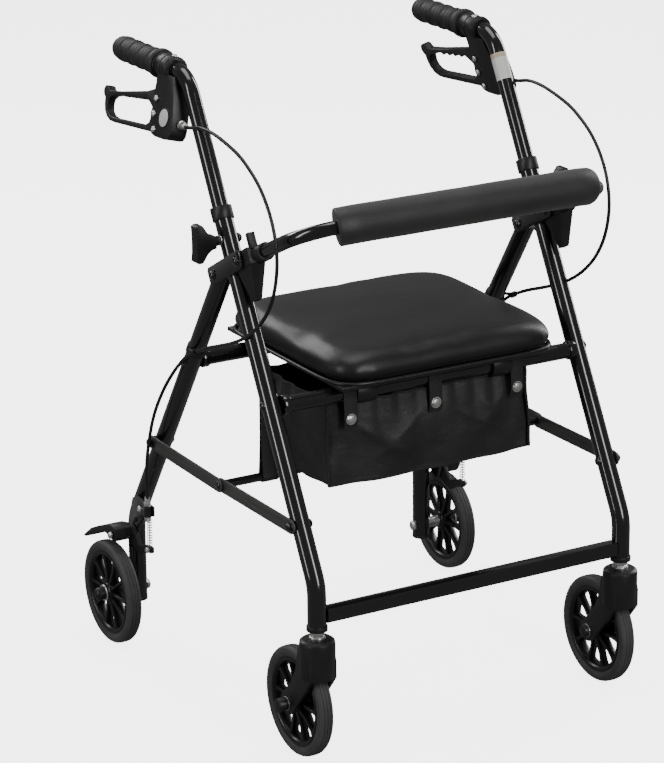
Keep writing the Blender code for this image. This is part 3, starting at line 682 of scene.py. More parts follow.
def housing_details(side):
    tag = side_name(side)
    body = f"handle_{tag}"
    plane = housing_plane(side)
    across = plane.to_3x3() @ Vector((0, 0, 1))
    for number, (y, z) in enumerate(((0.3785, 0.8310), (0.3770, 0.8110), (0.3690, 0.7920))):
        for way, face in ((-1, "inner"), (1, "outer")):
            centre = plane @ Vector((y, below_grip(z), way * side * 0.0124))
            recess = disc(centre - across * way * side * 0.0004, centre + across * way * side * 0.0008,
                0.0062, 24, 0.0004)
            piece(f"housing_ring_{face}_{number}_{tag}", recess, body, "black_plastic")
            head = dome(centre + across * way * side * 0.0004, across * way * side, 0.0044, 0.0030)
            piece(f"housing_bolt_{face}_{number}_{tag}", head, body, "bright_steel")
    centre = plane @ Vector((0.3480, below_grip(0.8110), side * 0.0124))
    badge = disc(centre, centre + across * side * 0.0008, 0.0122, 40, 0.0002)
    piece(f"housing_disc_{tag}", badge, body, "black_plastic", LABEL_WHITE)
    rim = turned(
        [(0.0122, 0.0010), (0.0134, 0.0008), (0.0138, 0.0), (0.0122, 0.0)], 40, centre, across * side
    )
    piece(f"housing_disc_rim_{tag}", rim, body, "black_plastic")
    for step in range(3):
        ring = turned(
            [(0.0168, 0.0012), (0.0172, 0.0006), (0.0168, 0.0), (0.0160, 0.0), (0.0160, 0.0012)],
            40, at(side * LEG_X, 0.3668 + step * 0.0170, GRIP_Z), (0, 1, 0),
        )
        piece(f"clamp_rib_{step}_{tag}", ring, body, "black_plastic")
    screw_at = at(side * (LEG_X - 0.004), 0.3760, GRIP_Z + 0.0155)
    piece(f"clamp_screw_{tag}", dome(screw_at, (0, 0, 1), 0.0040, 0.0026), body, "bright_steel")


def knob_details(side):
    tag = side_name(side)
    centre = at(side * LEG_X, leg_y(KNOB_Z), KNOB_Z)
    thread = pipe([centre + Vector((side * 0.0122, 0, 0)), centre + Vector((side * 0.0225, 0, 0))], 0.0030,
        16)
    piece(f"knob_thread_{tag}", thread, f"knob_{tag}", "bright_steel")
    seat = washer(centre + Vector((side * 0.0126, 0, 0)), (side, 0, 0), 0.0072, 0.0016)
    piece(f"knob_washer_{tag}", seat, "front_frame", "bright_steel")
    catch = joined([
        disc(centre - Vector((side * 0.0124, 0, 0)), centre - Vector((side * 0.0150, 0, 0)), 0.0068, 24,
            0.0006),
        nut(centre - Vector((side * 0.0148, 0, 0)), (-side, 0, 0), 0.0056, 0.0040),
    ])
    piece(f"knob_back_nut_{tag}", catch, "front_frame", "black_plastic", LOOK["black_paint"])


# ---- cables ----
CABLE_ROUTE = [
    (0.2580, 0.3080, 0.8085), (0.2578, 0.2930, 0.8105), (0.2575, 0.2650, 0.8160),
    (0.2570, 0.2320, 0.8155), (0.2567, 0.1940, 0.8090), (0.2565, 0.1600, 0.8000),
    (0.2565, 0.1315, 0.7865), (0.2565, 0.1090, 0.7715), (0.2565, 0.0900, 0.7520),
    (0.2565, 0.0755, 0.7290), (0.2565, 0.0675, 0.7050), (0.2565, 0.0650, 0.6800),
    (0.2565, 0.0690, 0.6540), (0.2565, 0.0790, 0.6280), (0.2565, 0.0960, 0.6030),
    (0.2567, 0.1200, 0.5800), (0.2568, 0.1490, 0.5600), (0.2569, 0.1850, 0.5420),
    (0.2570, 0.2240, 0.5270), (0.2570, 0.2630, 0.5130), (0.2570, 0.3000, 0.4970),
    (0.2580, 0.3240, 0.4830), (0.2600, 0.3460, 0.4640), (0.2630, 0.3680, 0.4390),
    (0.2660, 0.3880, 0.4100), (0.2685, 0.4050, 0.3780), (0.2700, 0.4170, 0.3440),
    (0.2695, 0.4280, 0.3100), (0.2670, 0.4370, 0.2790), (0.2635, 0.4440, 0.2510),
    (0.2620, 0.4470, 0.2296),
]
CABLE_MIDDLE = 11  # the front of the bow, which stays with the front frame
CABLE_CLIP = 20  # where the clip on the rear leg takes it
CABLE_STEPS = 6


def cables(side):
    """The sheath in three runs: handle to front frame, front frame to rear leg, and along the rear leg."""
    tag = side_name(side)
    path = smooth_path([at(side * x, y, z) for x, y, z in CABLE_ROUTE], CABLE_STEPS)
    middle, clip = CABLE_MIDDLE * CABLE_STEPS, CABLE_CLIP * CABLE_STEPS
    upper = pipe(path[: middle + 1], CABLE_R, 16)
    piece(f"cable_upper_{tag}", upper, None, "cable_sheath", stands_for=[f"brake_cable_{tag}"])
    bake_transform(upper)
    lower = pipe(path[middle: clip + 1], CABLE_R, 16)
    piece(f"cable_bow_{tag}", lower, None, "cable_sheath")
    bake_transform(lower)
    piece(f"cable_leg_run_{tag}", pipe(path[clip:], CABLE_R, 16), "rear_frame", "cable_sheath")


def leg_clip(side):
    """A plastic band round the rear leg that holds the cable."""
    tag = side_name(side)
    x, z = side * LEG_X, 0.4920
    centre = at(x, rear_leg_y(z), z)
    band = turned(
        [(LEG_R + 0.0016, 0.005), (LEG_R + 0.0016, -0.005), (LEG_R - 0.0002, -0.005),
            (LEG_R - 0.0002, 0.005)],
        32, centre, REAR_DOWN,
    )
    route = Vector(CABLE_ROUTE[CABLE_CLIP])
    eye_at = at(side * route.x, route.y, route.z)
    heading = (Vector(CABLE_ROUTE[CABLE_CLIP + 1]) - Vector(CABLE_ROUTE[CABLE_CLIP - 1])).normalized()
    eye = turned(
        [(0.0044, 0.005), (0.0044, -0.005), (0.0026, -0.005), (0.0026, 0.005)], 20, eye_at,
        (side * heading.x, heading.y, heading.z),
    )
    link = pipe([eye_at + Vector((0, 0.003, 0)), centre + Vector((side * 0.0130, -0.004, 0.002))], 0.0022,
        12)
    piece(f"cable_clip_{tag}", joined([band, eye, link]), "rear_frame", "black_plastic")


# ---- backrest ----
def backrest_path(steps):
    """The tube's axis, from one socket round both bends to the other."""
    reach = (Vector((0, *BACK_PAD)) - BACK_PIVOT).normalized()
    start = BACK_PIVOT + reach * 0.024
    corners = [
        at(-BACK_X, start.y, start.z), at(-BACK_X, *BACK_PAD), at(BACK_X, *BACK_PAD),
        at(BACK_X, start.y, start.z),
    ]
    return rounded(corners, BACK_BEND, steps)


def along(path, share):
    """The point and heading at a share of the length of a path."""
    lengths = [(b - a).length for a, b in zip(path, path[1:])]
    left = share * sum(lengths)
    for a, b, length in zip(path, path[1:], lengths):
        if left <= length + 1e-9:
            return a.lerp(b, left / length), (b - a).normalized()
        left -= length
    return path[-1], (path[-1] - path[-2]).normalized()


def backrest():
    """The bow, and a foam sleeve cut off square that runs a little way into both of its bends."""
    path = backrest_path(24)
    piece("backrest_bow", pipe(path, BACK_TUBE_R, 28), "backrest", "black_paint",
        stands_for=["backrest_tube"])
    reach = (Vector((0, *BACK_PAD)) - BACK_PIVOT).normalized()
    middle = [p for p in path if abs(p.x) < BACK_PAD_HALF]
    first, last = path.index(middle[0]), path.index(middle[-1])
    ends = []
    for inside, beyond in ((middle[0], path[first - 1]), (middle[-1], path[last + 1])):
        ends.append(inside.lerp(beyond, (BACK_PAD_HALF - abs(inside.x)) / (abs(beyond.x) - abs(inside.x))))
    sleeve = [ends[0], *middle, ends[1]]
    total = sum((b - a).length for a, b in zip(sleeve, sleeve[1:]))
    rings, sides = 120, 40
    work = bmesh.new()
    loops = []
    for ring in range(rings + 1):
        swing = -1 + 2 * ring / rings
        share = 0.5 + 0.5 * math.copysign(1 - (1 - abs(swing)) ** 1.45, swing)
        centre, heading = along(sleeve, share)
        edge = max(0.0, (abs(share - 0.5) * total - (total / 2 - 0.0028)) / 0.0028)
        radius = BACK_PAD_R - 0.0028 * (1 - math.sqrt(max(0.0, 1 - edge * edge)))
        across = Vector((1, 0, 0)).cross(reach)
        beside = heading.cross(across).normalized()
        loop = []
        for step in range(sides):
            angle = math.tau * step / sides
            ripple = 0.0004 * noise.noise(Vector((share * 9, math.cos(angle) * 1.3, math.sin(angle) * 1.3)))
            way = across * math.cos(angle) + beside * math.sin(angle)
            loop.append(work.verts.new(centre + way * (radius + ripple)))
        loops.append(loop)
    bridge(work, loops)
    for loop, share, inward in ((loops[0], 0.0, 1), (loops[-1], 1.0, -1)):
        centre, heading = along(sleeve, share)
        bore = []
        for vertex in loop:
            way = (vertex.co - centre).normalized()
            bore.append(work.verts.new(centre + way * 0.0097 + heading * inward * 0.002))
        for step in range(sides):
            nxt = (step + 1) % sides
            work.faces.new((loop[step], loop[nxt], bore[nxt], bore[step]))
        work.faces.new(bore)
    mesh = closed_mesh(work, "foam")
    pad = piece("backrest_foam", linked("foam", mesh), "backrest", "backrest_foam",
        stands_for=["backrest_pad"],
                angle=50)


# ---- seat ----
def superellipse(half_x, half_y, power, count):
    loop = []
    for step in range(count):
        angle = math.tau * (step + 0.5) / count
        c, s = math.cos(angle), math.sin(angle)
        loop.append((
            half_x * math.copysign(abs(c) ** (2 / power), c),
            half_y * math.copysign(abs(s) ** (2 / power), s),
        ))
    return loop


SEAT_LEVELS = [  # (inset from the widest outline, height above the board, corner power)
    (0.060, 0.0000, 6.0), (0.020, 0.0000, 7.0), (0.0085, 0.0004, 7.5), (0.0045, 0.0030, 8.0),
    (0.0015, 0.0080, 8.0),
    (0.0000, 0.0140, 8.0), (0.0010, 0.0200, 7.8), (0.0045, 0.0262, 7.4), (0.0105, 0.0312, 7.0),
    (0.0190, 0.0345, 6.4), (0.0300, 0.0364, 5.8), (0.0450, 0.0378, 5.2), (0.0650, 0.0390, 4.8),
    (0.0900, 0.0400, 4.4), (0.1200, 0.0407, 4.0), (0.1500, 0.0410, 3.6),
]


def cushion_mesh(count):
    """Rings from the underside over the edge to the crown, with pulled pleats at the corners."""
    centre_y = (SEAT_Y[0] + SEAT_Y[1]) / 2
    half_y = (SEAT_Y[1] - SEAT_Y[0]) / 2
    work = bmesh.new()
    rings = []
    for inset, height, power in SEAT_LEVELS:
        ring = []
        for x, y in superellipse(SEAT_HALF - inset, half_y - inset, power, count):
            corner = min(abs(x) / SEAT_HALF, abs(y) / half_y)
            fan = math.atan2(abs(y) - half_y + 0.05, abs(x) - SEAT_HALF + 0.05)
            near = max(0.0, min(1.0, (corner - 0.80) / 0.15))
            side_part = max(0.0, 1 - abs(height - 0.016) / 0.018)
            pleat = 0.0016 * near * side_part * math.sin(fan * 15)
            out = Vector((x, y, 0)).normalized()
            settle = 0.0012 * noise.noise(Vector((x * 14, y * 14, height * 30)))
            place = Vector((x, y, 0)) + out * (pleat + (settle if height > 0.002 else 0))
            lift = height + (0.0014 * noise.noise(Vector((x * 9, y * 9, 3.0))) if height > 0.03 else 0)
            ring.append(work.verts.new(at(SEAT_MIDDLE_X + place.x, centre_y + place.y, SEAT_Z[0] + lift)))
        rings.append(ring)
    bridge(work, rings)
    work.faces.new(list(reversed(rings[0])))
    top = work.verts.new(at(SEAT_MIDDLE_X, centre_y, SEAT_Z[0] + SEAT_LEVELS[-1][1] + 0.0003))
    for step in range(count):
        work.faces.new((rings[-1][step], rings[-1][(step + 1) % count], top))
    mesh = closed_mesh(work, "cushion")
    return mesh


def inflate(made, cap, frames=20, voxel=0.006):
    """Remeshes the pad evenly, blows it up a little as cloth and keeps each point within cap of its start."""
    remesh = made.modifiers.new("even", "REMESH")
    remesh.mode = "VOXEL"
    remesh.voxel_size = voxel
    made = as_mesh(made)
    start = [v.co.copy() for v in made.data.vertices]
    cloth = made.modifiers.new("cloth", "CLOTH")
    cloth.settings.use_pressure = True
    cloth.settings.uniform_pressure_force = 3.0
    cloth.settings.tension_stiffness = 40
    cloth.settings.compression_stiffness = 40
    cloth.settings.bending_stiffness = 2.0
    cloth.settings.effector_weights.gravity = 0
    scene = bpy.context.scene
    for number in range(1, frames + 1):
        scene.frame_set(number)
    made = as_mesh(made)
    for vertex, before in zip(made.data.vertices, start):
        moved = vertex.co - before
        if moved.length > cap:
            vertex.co = before + moved.normalized() * cap
    scene.frame_set(1)
    return made


def seat():
    made = linked("cushion", cushion_mesh(176))
    made = inflate(made, 0.004)
    for vertex in made.data.vertices:
        vertex.co.z = max(vertex.co.z, SEAT_Z[0])
    smooth = made.modifiers.new("smooth", "CORRECTIVE_SMOOTH")
    smooth.iterations = 4
    smooth.use_only_smooth = True
    fine = made.modifiers.new("fine", "SUBSURF")
    fine.levels = 1
    fine.render_levels = 1
    pad = piece("seat_cushion", made, "seat", "seat_vinyl", stands_for=["seat_pad"], angle=80)
    centre_y = (SEAT_Y[0] + SEAT_Y[1]) / 2
    half_y = (SEAT_Y[1] - SEAT_Y[0]) / 2

    def ring_at(inset, z, count=200):
        loop = superellipse(SEAT_HALF - inset, half_y - inset, 7.6, count)
        return [at(SEAT_MIDDLE_X + x, centre_y + y, z) for x, y in loop]

    piece("seat_piping", closed_pipe(ring_at(0.0040, SEAT_Z[0] + 0.0012), 0.0028, 12), "seat", "seat_vinyl")


def closed_pipe(loop, radius, sides):
    curve = bpy.data.curves.new("loop", "CURVE")
    curve.dimensions = "3D"
    curve.bevel_depth = radius
    curve.bevel_resolution = (sides - 4) // 2
    spline = curve.splines.new("POLY")
    spline.points.add(len(loop) - 1)
    for point, place in zip(spline.points, loop):
        point.co = (*place, 1)
    spline.use_cyclic_u = True
    return as_mesh(linked("loop", curve))


# ---- bag ----
def bag_point(around, down):
    """A point of the hanging bag: around runs 0 to 1 from the back left over the front, down 0 to 1."""
    depth = BAG_Y[1] - BAG_Y[0]
    width = 2 * BAG_HALF
    perimeter = 2 * (depth + width)
    reach = around * perimeter
    corners = [
        (BAG_HALF, BAG_Y[1]), (BAG_HALF, BAG_Y[0]), (-BAG_HALF, BAG_Y[0]), (-BAG_HALF, BAG_Y[1]),
        (BAG_HALF, BAG_Y[1]),
    ]
    normals = [(1, 0), (0, -1), (-1, 0), (0, 1)]
    for (ax, ay), (bx, by), normal in zip(corners, corners[1:], normals):
        length = math.hypot(bx - ax, by - ay)
        if reach <= length + 1e-9:
            share = reach / length
            x, y = ax + (bx - ax) * share, ay + (by - ay) * share
            break
        reach -= length
    middle = math.sin(math.pi * share)
    belly = 0.007 * math.sin(math.pi * min(1, down * 1.05)) * middle
    fold_down = 0.0030 * noise.noise(Vector((x * 26 + 5, y * 26, down * 2.2)))
    diagonal = 0.0024 * math.sin((x * 60 + y * 60) + down * 7) * middle * down * (1 - 0.5 * down)
    gather = 0.0018 * math.sin(x * 210 + y * 150) * (1 - down) ** 3
    out = belly + fold_down + diagonal + gather - 0.005 * (1 - down) * (1 - middle) - 0.004
    z = BAG_Z[1] - (BAG_Z[1] - BAG_Z[0]) * down + 0.0045 * (1 - down)
    z -= 0.004 * math.sin(math.pi * share) * down + 0.0015 * noise.noise(Vector((x * 18, y * 18, 9)))
    rim_sag = 0.0010 * math.sin(math.pi * 2 * share) ** 2 * (1 - down)
    if normal == (0, -1):
        out += 0.0036 * front_creases(share, down) * math.sin(math.pi * down) ** 0.5
    return Vector((x + normal[0] * out, y + normal[1] * out, max(z - rim_sag, BAG_Z[0] - 0.003)))


BAG_CREASES = [  # (share across, share down) at both ends, pulled between the snaps and the corners
    ((0.92, 0.16), (0.52, 0.95)), ((0.50, 0.12), (0.80, 0.80)), ((0.48, 0.14), (0.06, 0.86)),
    ((0.10, 0.10), (0.30, 0.72)), ((0.88, 0.30), (0.66, 0.60)), ((0.28, 0.20), (0.12, 0.60)),
]


def front_creases(across, down):
    """Height of the sharp folds in the bag's front face, from 0 to about 1."""
    height = 0.0
    for (x0, y0), (x1, y1) in BAG_CREASES:
        dx, dy = x1 - x0, (y1 - y0) * 0.34
        px, py = across - x0, (down - y0) * 0.34
        run = (px * dx + py * dy) / (dx * dx + dy * dy)
        ends = max(0.0, math.sin(math.pi * min(1.0, max(0.0, run))))
        off = abs(px * dy - py * dx) / math.hypot(dx, dy)
        height += ends * math.exp(-off / 0.022)
    return min(height, 1.2)


def bag():
    columns, rows = 312, 44
    work = bmesh.new()
    grid = [
        [work.verts.new(at(*bag_point(c / columns, r / rows))) for c in range(columns)]
        for r in range(rows + 1)
    ]
    for above, below in zip(grid, grid[1:]):
        for c in range(columns):
            n = (c + 1) % columns
            work.faces.new((above[c], above[n], below[n], below[c]))
    previous = grid[-1]
    centre = Vector((0, (BAG_Y[0] + BAG_Y[1]) / 2, BAG_Z[0]))
    for step in range(1, 7):
        keep = 1 - step / 7
        ring = []
        for vertex in grid[-1]:
            edge = vertex.co - Vector((0, STEM_Y, 0))
            spot = centre + (edge - centre) * keep
            ripple = 0.0012 * noise.noise(Vector((spot.x * 25, spot.y * 25, 2)))
            spot.z = BAG_Z[0] - 0.0035 * (1 - keep) + ripple
            ring.append(work.verts.new(at(*spot)))
        for c in range(columns):
            n = (c + 1) % columns
            work.faces.new((previous[c], previous[n], ring[n], ring[c]))
        previous = ring
    work.faces.new(previous)
    mesh = closed_mesh(work, "bag")
    made = linked("bag_shell", mesh)
    wall = made.modifiers.new("wall", "SOLIDIFY")
    wall.thickness = 0.0014
    wall.offset = -1
    made = as_mesh(made)
    shell = piece("bag_shell", made, None, "bag_nylon", stands_for=["bag"], angle=60)
    parts = [shell]
    for name, around in (("front_left", 0.19052), ("front_right", 0.5)):
        seam = [at(*(bag_point(around, r / 30))) for r in range(31)]
        parts.append(piece(f"bag_binding_{name}", pipe(seam, 0.0022, 10), None, "bag_nylon",
            LOOK["webbing"]))
    hem = [at(*(bag_point(c / 160, 1.0))) for c in range(160)]
    parts.append(piece("bag_binding_bottom", closed_pipe(hem, 0.0020, 10), None, "bag_nylon",
        LOOK["webbing"]))
    rim = [at(*(bag_point(c / 160, 0.0))) for c in range(160)]
    parts.append(piece("bag_binding_top", closed_pipe(rim, 0.0022, 10), None, "bag_nylon", LOOK["webbing"]))
    for part in parts:
        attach(part, "front_frame")
        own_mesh(part)


def band(path, width, thickness):
    """A flat strap swept along a path in the YZ plane, width across X."""
    work = bmesh.new()
    rings = []
    for index, place in enumerate(path):
        before, after = path[max(index - 1, 0)], path[min(index + 1, len(path) - 1)]
        along = (after - before).normalized()
        normal = along.cross(Vector((1, 0, 0))).normalized() * thickness / 2
        side = Vector((width / 2, 0, 0))
        rings.append([
            work.verts.new(place + side * a + normal * b)
            for a, b in ((-1, -0.6), (-0.92, -1), (0.92, -1), (1, -0.6), (1, 0.6), (0.92, 1), (-0.92, 1),
                (-1, 0.6))
        ])
    bridge(work, rings)
    work.faces.new(rings[0])
    work.faces.new(list(reversed(rings[-1])))
    mesh = closed_mesh(work, "band")
    return linked("band", mesh)


def bag_straps():
    """Three webbing loops over the front tube, each closed by a chrome snap on the bag's face."""
    radius = SEAT_BAR_R + 0.0012
    for number, x in enumerate((-0.1320, 0.0, 0.1300)):
        front_y = BAG_Y[0] - 0.0085
        path = [Vector((x, front_y + 0.0015, 0.4270)), Vector((x, front_y - 0.0005, 0.4380)),
            Vector((x, front_y, 0.4540))]
        for step in range(15):
            angle = math.pi + 0.15 - math.radians(225) * step / 14
            path.append(Vector((x, FRONT_BAR[0] + radius * math.cos(angle),
                FRONT_BAR[1] + radius * math.sin(angle))))
        path.append(Vector((x, front_y + 0.0130, 0.4500)))
        placed = [at(*p) for p in smooth_path(path, 3)]
        piece(f"bag_strap_{number}", band(placed, 0.020, 0.0016), "front_frame", "webbing")
        centre = at(x, front_y - 0.0006, 0.4395)
        snap = joined([
            turned([(0, 0.0034), (0.0030, 0.0033), (0.0056, 0.0024), (0.0066, 0.0010), (0.0068, 0.0),
                (0, 0.0)],
                   32, centre, (0, -1, 0)),
            turned([(0.0078, 0.0008), (0.0080, 0.0004), (0.0078, 0.0), (0.0064, 0.0), (0.0064, 0.0008)],
                   32, centre, (0, -1, 0)),
        ])
        piece(f"bag_snap_{number}", snap, "front_frame", "bright_steel")


def pull_strap():
    """The webbing loop that is pulled up to fold the walker."""
    y, z = BRACE_M
    path = [Vector((FOLD_STRAP_X, y - 0.0014, z + 0.138)), Vector((FOLD_STRAP_X, y - 0.0020, z + 0.060)),
        Vector((FOLD_STRAP_X, y - 0.0050, z + 0.016))]
    for step in range(13):
        angle = math.radians(150 + 240 * step / 12)
        path.append(Vector((FOLD_STRAP_X, y + 0.0073 * math.cos(angle), z + 0.0073 * math.sin(angle))))
    path += [Vector((FOLD_STRAP_X, y + 0.0050, z + 0.016)), Vector((FOLD_STRAP_X, y + 0.0020, z + 0.060)),
        Vector((FOLD_STRAP_X, y + 0.0014, z + 0.138))]
    placed = [at(*p) for p in smooth_path(path, 3)]
    made = piece("fold_strap", band(placed, 0.024, 0.0015), "front_links", "webbing",
        stands_for=["pull_strap"])
    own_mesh(made)


# ---- wheels ----
def wheels():
    for side in (-1, 1):
        tag = side_name(side)
        for place, centre, body in (
            ("caster", at(side * LEG_X, CASTER_TRAIL, WHEEL_R), f"caster_wheel_{tag}"),
            ("rear", at(side * REAR_WHEEL_X, REAR_AXLE_Y, WHEEL_R), f"rear_wheel_{tag}"),
        ):
            wheel_set(place, tag, centre, body)


def spoke_set(centre, spokes=10):
    """Tapered ribs from the boss to the rim, thinner at their middle."""
    made = []
    for number in range(spokes):
        angle = math.tau * number / spokes
        work = bmesh.new()
        rings = []
        for radius, half_width, half_depth in (
            (0.0120, 0.0046, 0.0082), (0.0200, 0.0034, 0.0070), (0.0360, 0.0028, 0.0052),
            (0.0480, 0.0034, 0.0056), (0.0540, 0.0052, 0.0064),
        ):
            ring = []
            for a, b in ((-1, -0.55), (-0.6, -1), (0.6, -1), (1, -0.55), (1, 0.55), (0.6, 1), (-0.6, 1),
                (-1, 0.55)):
                local = Vector((b * half_depth, radius, a * half_width))
                ring.append(work.verts.new(centre + Matrix.Rotation(angle, 3, "X") @ local))
            rings.append(ring)
        bridge(work, rings)
        work.faces.new(rings[0])
        work.faces.new(list(reversed(rings[-1])))
        mesh = closed_mesh(work, "spoke")
        made.append(linked("spoke", mesh))
    return made


def wheel_set(place, tag, centre, body):
    outer = [(RIM_R, 0.0086), (0.0640, 0.0098), (0.0665, 0.0110), (0.0700, 0.0110), (0.0712, 0.0104),
        (0.0724, 0.0104),
             (0.0740, 0.0090), (0.0753, 0.0068), (0.0757, 0.0056), (0.0749, 0.0050), (0.0749, 0.0042),
             (0.0759, 0.0036),
             (0.0760, 0.0010), (0.0751, 0.0005)]
    profile = outer + [(radius, -across) for radius, across in reversed(outer)]
    tyre = turned(profile, 96, centre, (1, 0, 0))
    piece(f"{place}_tread_{tag}", tyre, body, "tyre_rubber", stands_for=[f"{place}_tyre_{tag}"])
    loop = [
        (0.0612, 0.0088), (0.0612, -0.0088), (0.0600, -0.0096), (0.0575, -0.0096), (0.0560, -0.0086),
        (0.0545, -0.0066), (0.0536, -0.0030), (0.0536, 0.0030), (0.0545, 0.0066), (0.0560, 0.0086),
        (0.0575, 0.0096), (0.0600, 0.0096),
    ]
    rim = turned(loop, 72, centre, (1, 0, 0))
    boss = turned(
        [(0.0045, 0.0120), (0.0105, 0.0120), (0.0130, 0.0108), (0.0145, 0.0085), (0.0150, 0.0),
            (0.0145, -0.0085),
         (0.0130, -0.0108), (0.0105, -0.0120), (0.0045, -0.0120)],
        40, centre, (1, 0, 0),
    )
    hub = joined([rim, boss, *spoke_set(centre)])
    piece(f"{place}_wheel_hub_{tag}", hub, body, "black_plastic", HUB_PLASTIC,
        stands_for=[f"{place}_hub_{tag}"])


# ---- brakes and fasteners ----
def brake_details(side):
    tag = side_name(side)
    x = side * BRAKE_X
    top, bottom, turns, steps = 0.2124, 0.1700, 11, 16
    coil = []
    for step in range(turns * steps + 1):
        angle = math.tau * step / steps
        share = step / (turns * steps)
        coil.append(at(x + 0.0036 * math.cos(angle), 0.4425 + 0.0036 * math.sin(angle),
            top + (bottom - top) * share))
    spring = piece(f"return_spring_{tag}", pipe(coil, 0.0006, 8), "rear_frame", "bright_steel",
                   stands_for=[f"brake_spring_{tag}"])
    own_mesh(spring)
    wire = piece(f"inner_wire_{tag}", pipe([at(x, 0.4440, 0.2135), at(x, 0.4425, 0.1660)], 0.0008, 10),
                 "rear_frame", "bright_steel")
    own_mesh(wire)
    barrel = joined([
        disc(at(x, 0.4470, 0.2290), at(x, 0.4470, 0.2345), 0.0050, 6, 0.0004),
        disc(at(x, 0.4470, 0.2060), at(x, 0.4470, 0.2132), 0.0048, 6, 0.0004),
        turned([(0, 0.008), (0.0034, 0.008), (0.0040, 0.006), (0.0040, 0.0), (0, 0.0)], 18,
            at(x, 0.4470, 0.2342), (0, 0, 1)),
    ])
    piece(f"cable_barrel_{tag}", barrel, "rear_frame", "bright_steel")
    grip_nut = nut(at(x + side * 0.0030, 0.4425, 0.1640), (side, 0, 0), 0.0046, 0.0046)
    piece(f"wire_clamp_{tag}", grip_nut, f"brake_{tag}", "bright_steel")
    bolt = dome(at(side * 0.2569, 0.4830, 0.2110), (side, 0, 0), 0.0052, 0.0030)
    piece(f"brake_bracket_bolt_{tag}", bolt, "rear_frame", "bright_steel")
    piece(f"brake_pivot_nut_{tag}", nut(at(side * 0.2922, *BRAKE_PIVOT), (side, 0, 0), 0.0052, 0.0046),
          "rear_frame", "bright_steel")


def fasteners(side):
    tag, x = side_name(side), side * LEG_X
    steel, paint = LOOK["bright_steel"], LOOK["black_paint"]
    for name, pivot, body in (("back", BACK_PIVOT, "front_frame"), ("fold", FOLD_PIVOT, "front_frame")):
        for way in (-1, 1):
            centre = at(x + way * 0.0168, pivot.y, pivot.z)
            face = "outer" if way == side else "inner"
            piece(f"{name}_washer_{face}_{tag}", washer(centre, (way, 0, 0), 0.0078), body, "bright_steel",
                paint)
            piece(f"{name}_bolt_{face}_{tag}", dome(centre + Vector((way * 0.001, 0, 0)), (way, 0, 0),
                0.0058, 0.0034),
                  body, "bright_steel", paint)
    for name, place, body, outer in (
        ("front_brace", BRACE_F, "front_frame", 0.2572), ("rear_brace", BRACE_R, "rear_frame", 0.2608),
    ):
        piece(f"{name}_washer_{tag}", washer(at(side * outer, *place), (side, 0, 0), 0.0080), body,
            "bright_steel", paint)
        piece(f"{name}_nut_{tag}", nut(at(side * (outer + 0.001), *place), (side, 0, 0), 0.0062, 0.0052),
            body,
              "bright_steel", paint)
        head = dome(at(side * (LEG_X - LEG_R + 0.0004), *place), (-side, 0, 0), 0.0062, 0.0036)
        piece(f"{name}_head_{tag}", head, body, "bright_steel", paint)
        pin = pipe([at(side * (LEG_X + LEG_R - 0.001), *place), at(side * (outer + 0.002), *place)],
            0.0042, 16)
        piece(f"{name}_pin_{tag}", pin, body, "bright_steel", paint)
    spacer = disc(at(side * (LEG_X + LEG_R - 0.001), *BRACE_R), at(side * 0.2573, *BRACE_R), 0.0085, 24,
        0.0003)
    piece(f"rear_brace_spacer_{tag}", spacer, "rear_frame", "black_plastic")
    rivet = dome(at(side * 0.2605, *BRACE_M), (side, 0, 0), 0.0062, 0.0026)
    piece(f"brace_middle_rivet_{tag}", rivet, "rear_links", "bright_steel", paint)
    stem_nut = joined([
        disc(at(x, 0, 0.1835), at(x, 0, 0.1866), 0.0112, 32, 0.0006),
        disc(at(x, 0, 0.1864), at(x, 0, 0.1950), 0.0098, 6, 0.0006),
    ])
    piece(f"stem_nut_{tag}", stem_nut, f"caster_{tag}", "bright_steel", steel)
    foot = disc(at(x, 0, LEG_BOTTOM_Z - 0.0004), at(x, 0, LEG_BOTTOM_Z + 0.0070), LEG_R + 0.0016, 32, 0.0010)
    piece(f"leg_foot_ring_{tag}", foot, "front_frame", "black_plastic")
    rear = at(side * REAR_WHEEL_X, REAR_AXLE_Y, WHEEL_R)
    ring = turned(
        [(0.0096, 0.0150), (0.0118, 0.0150), (0.0124, 0.0142), (0.0124, 0.0128), (0.0096, 0.0128)], 36, rear,
        (side, 0, 0),
    )
    piece(f"rear_axle_ring_{tag}", ring, "rear_frame", "bright_steel")
    cap = turned(
        [(0, 0.0285), (0.0050, 0.0283), (0.0080, 0.0262), (0.0094, 0.0225), (0.0096, 0.0136),
            (0.0120, 0.0130),
         (0.0120, 0.0122), (0, 0.0122)], 32, rear, (side, 0, 0),
    )
    piece(f"rear_axle_cap_{tag}", cap, "rear_frame", "black_plastic")
    axle = pipe([at(side * (LEG_X + 0.010), REAR_AXLE_Y, WHEEL_R),
        at(side * 0.2704, REAR_AXLE_Y, WHEEL_R)], 0.0080, 24)
    piece(f"rear_axle_spacer_{tag}", axle, "rear_frame", "bright_steel")
    inner = nut(at(side * (LEG_X - LEG_R + 0.001), REAR_AXLE_Y, WHEEL_R), (-side, 0, 0), 0.0080, 0.0065)
    piece(f"rear_axle_nut_{tag}", inner, "rear_frame", "bright_steel")
    for way, reach, name in ((side, 0.0345, "outer"), (-side, 0.0272, "inner")):
        centre = at(x + way * 0.0202, CASTER_TRAIL, WHEEL_R)
        piece(f"caster_axle_washer_{name}_{tag}", washer(centre, (way, 0, 0), 0.0098), f"caster_{tag}",
            "bright_steel")
        cover = turned(
            [(0, reach - 0.0190), (0.0045, reach - 0.0192), (0.0078, reach - 0.0205),
                (0.0090, reach - 0.0235),
             (0.0092, 0.0008), (0, 0.0008)], 28, centre, (way, 0, 0),
        )
        piece(f"caster_axle_cap_{name}_{tag}", cover, f"caster_{tag}", "black_plastic")


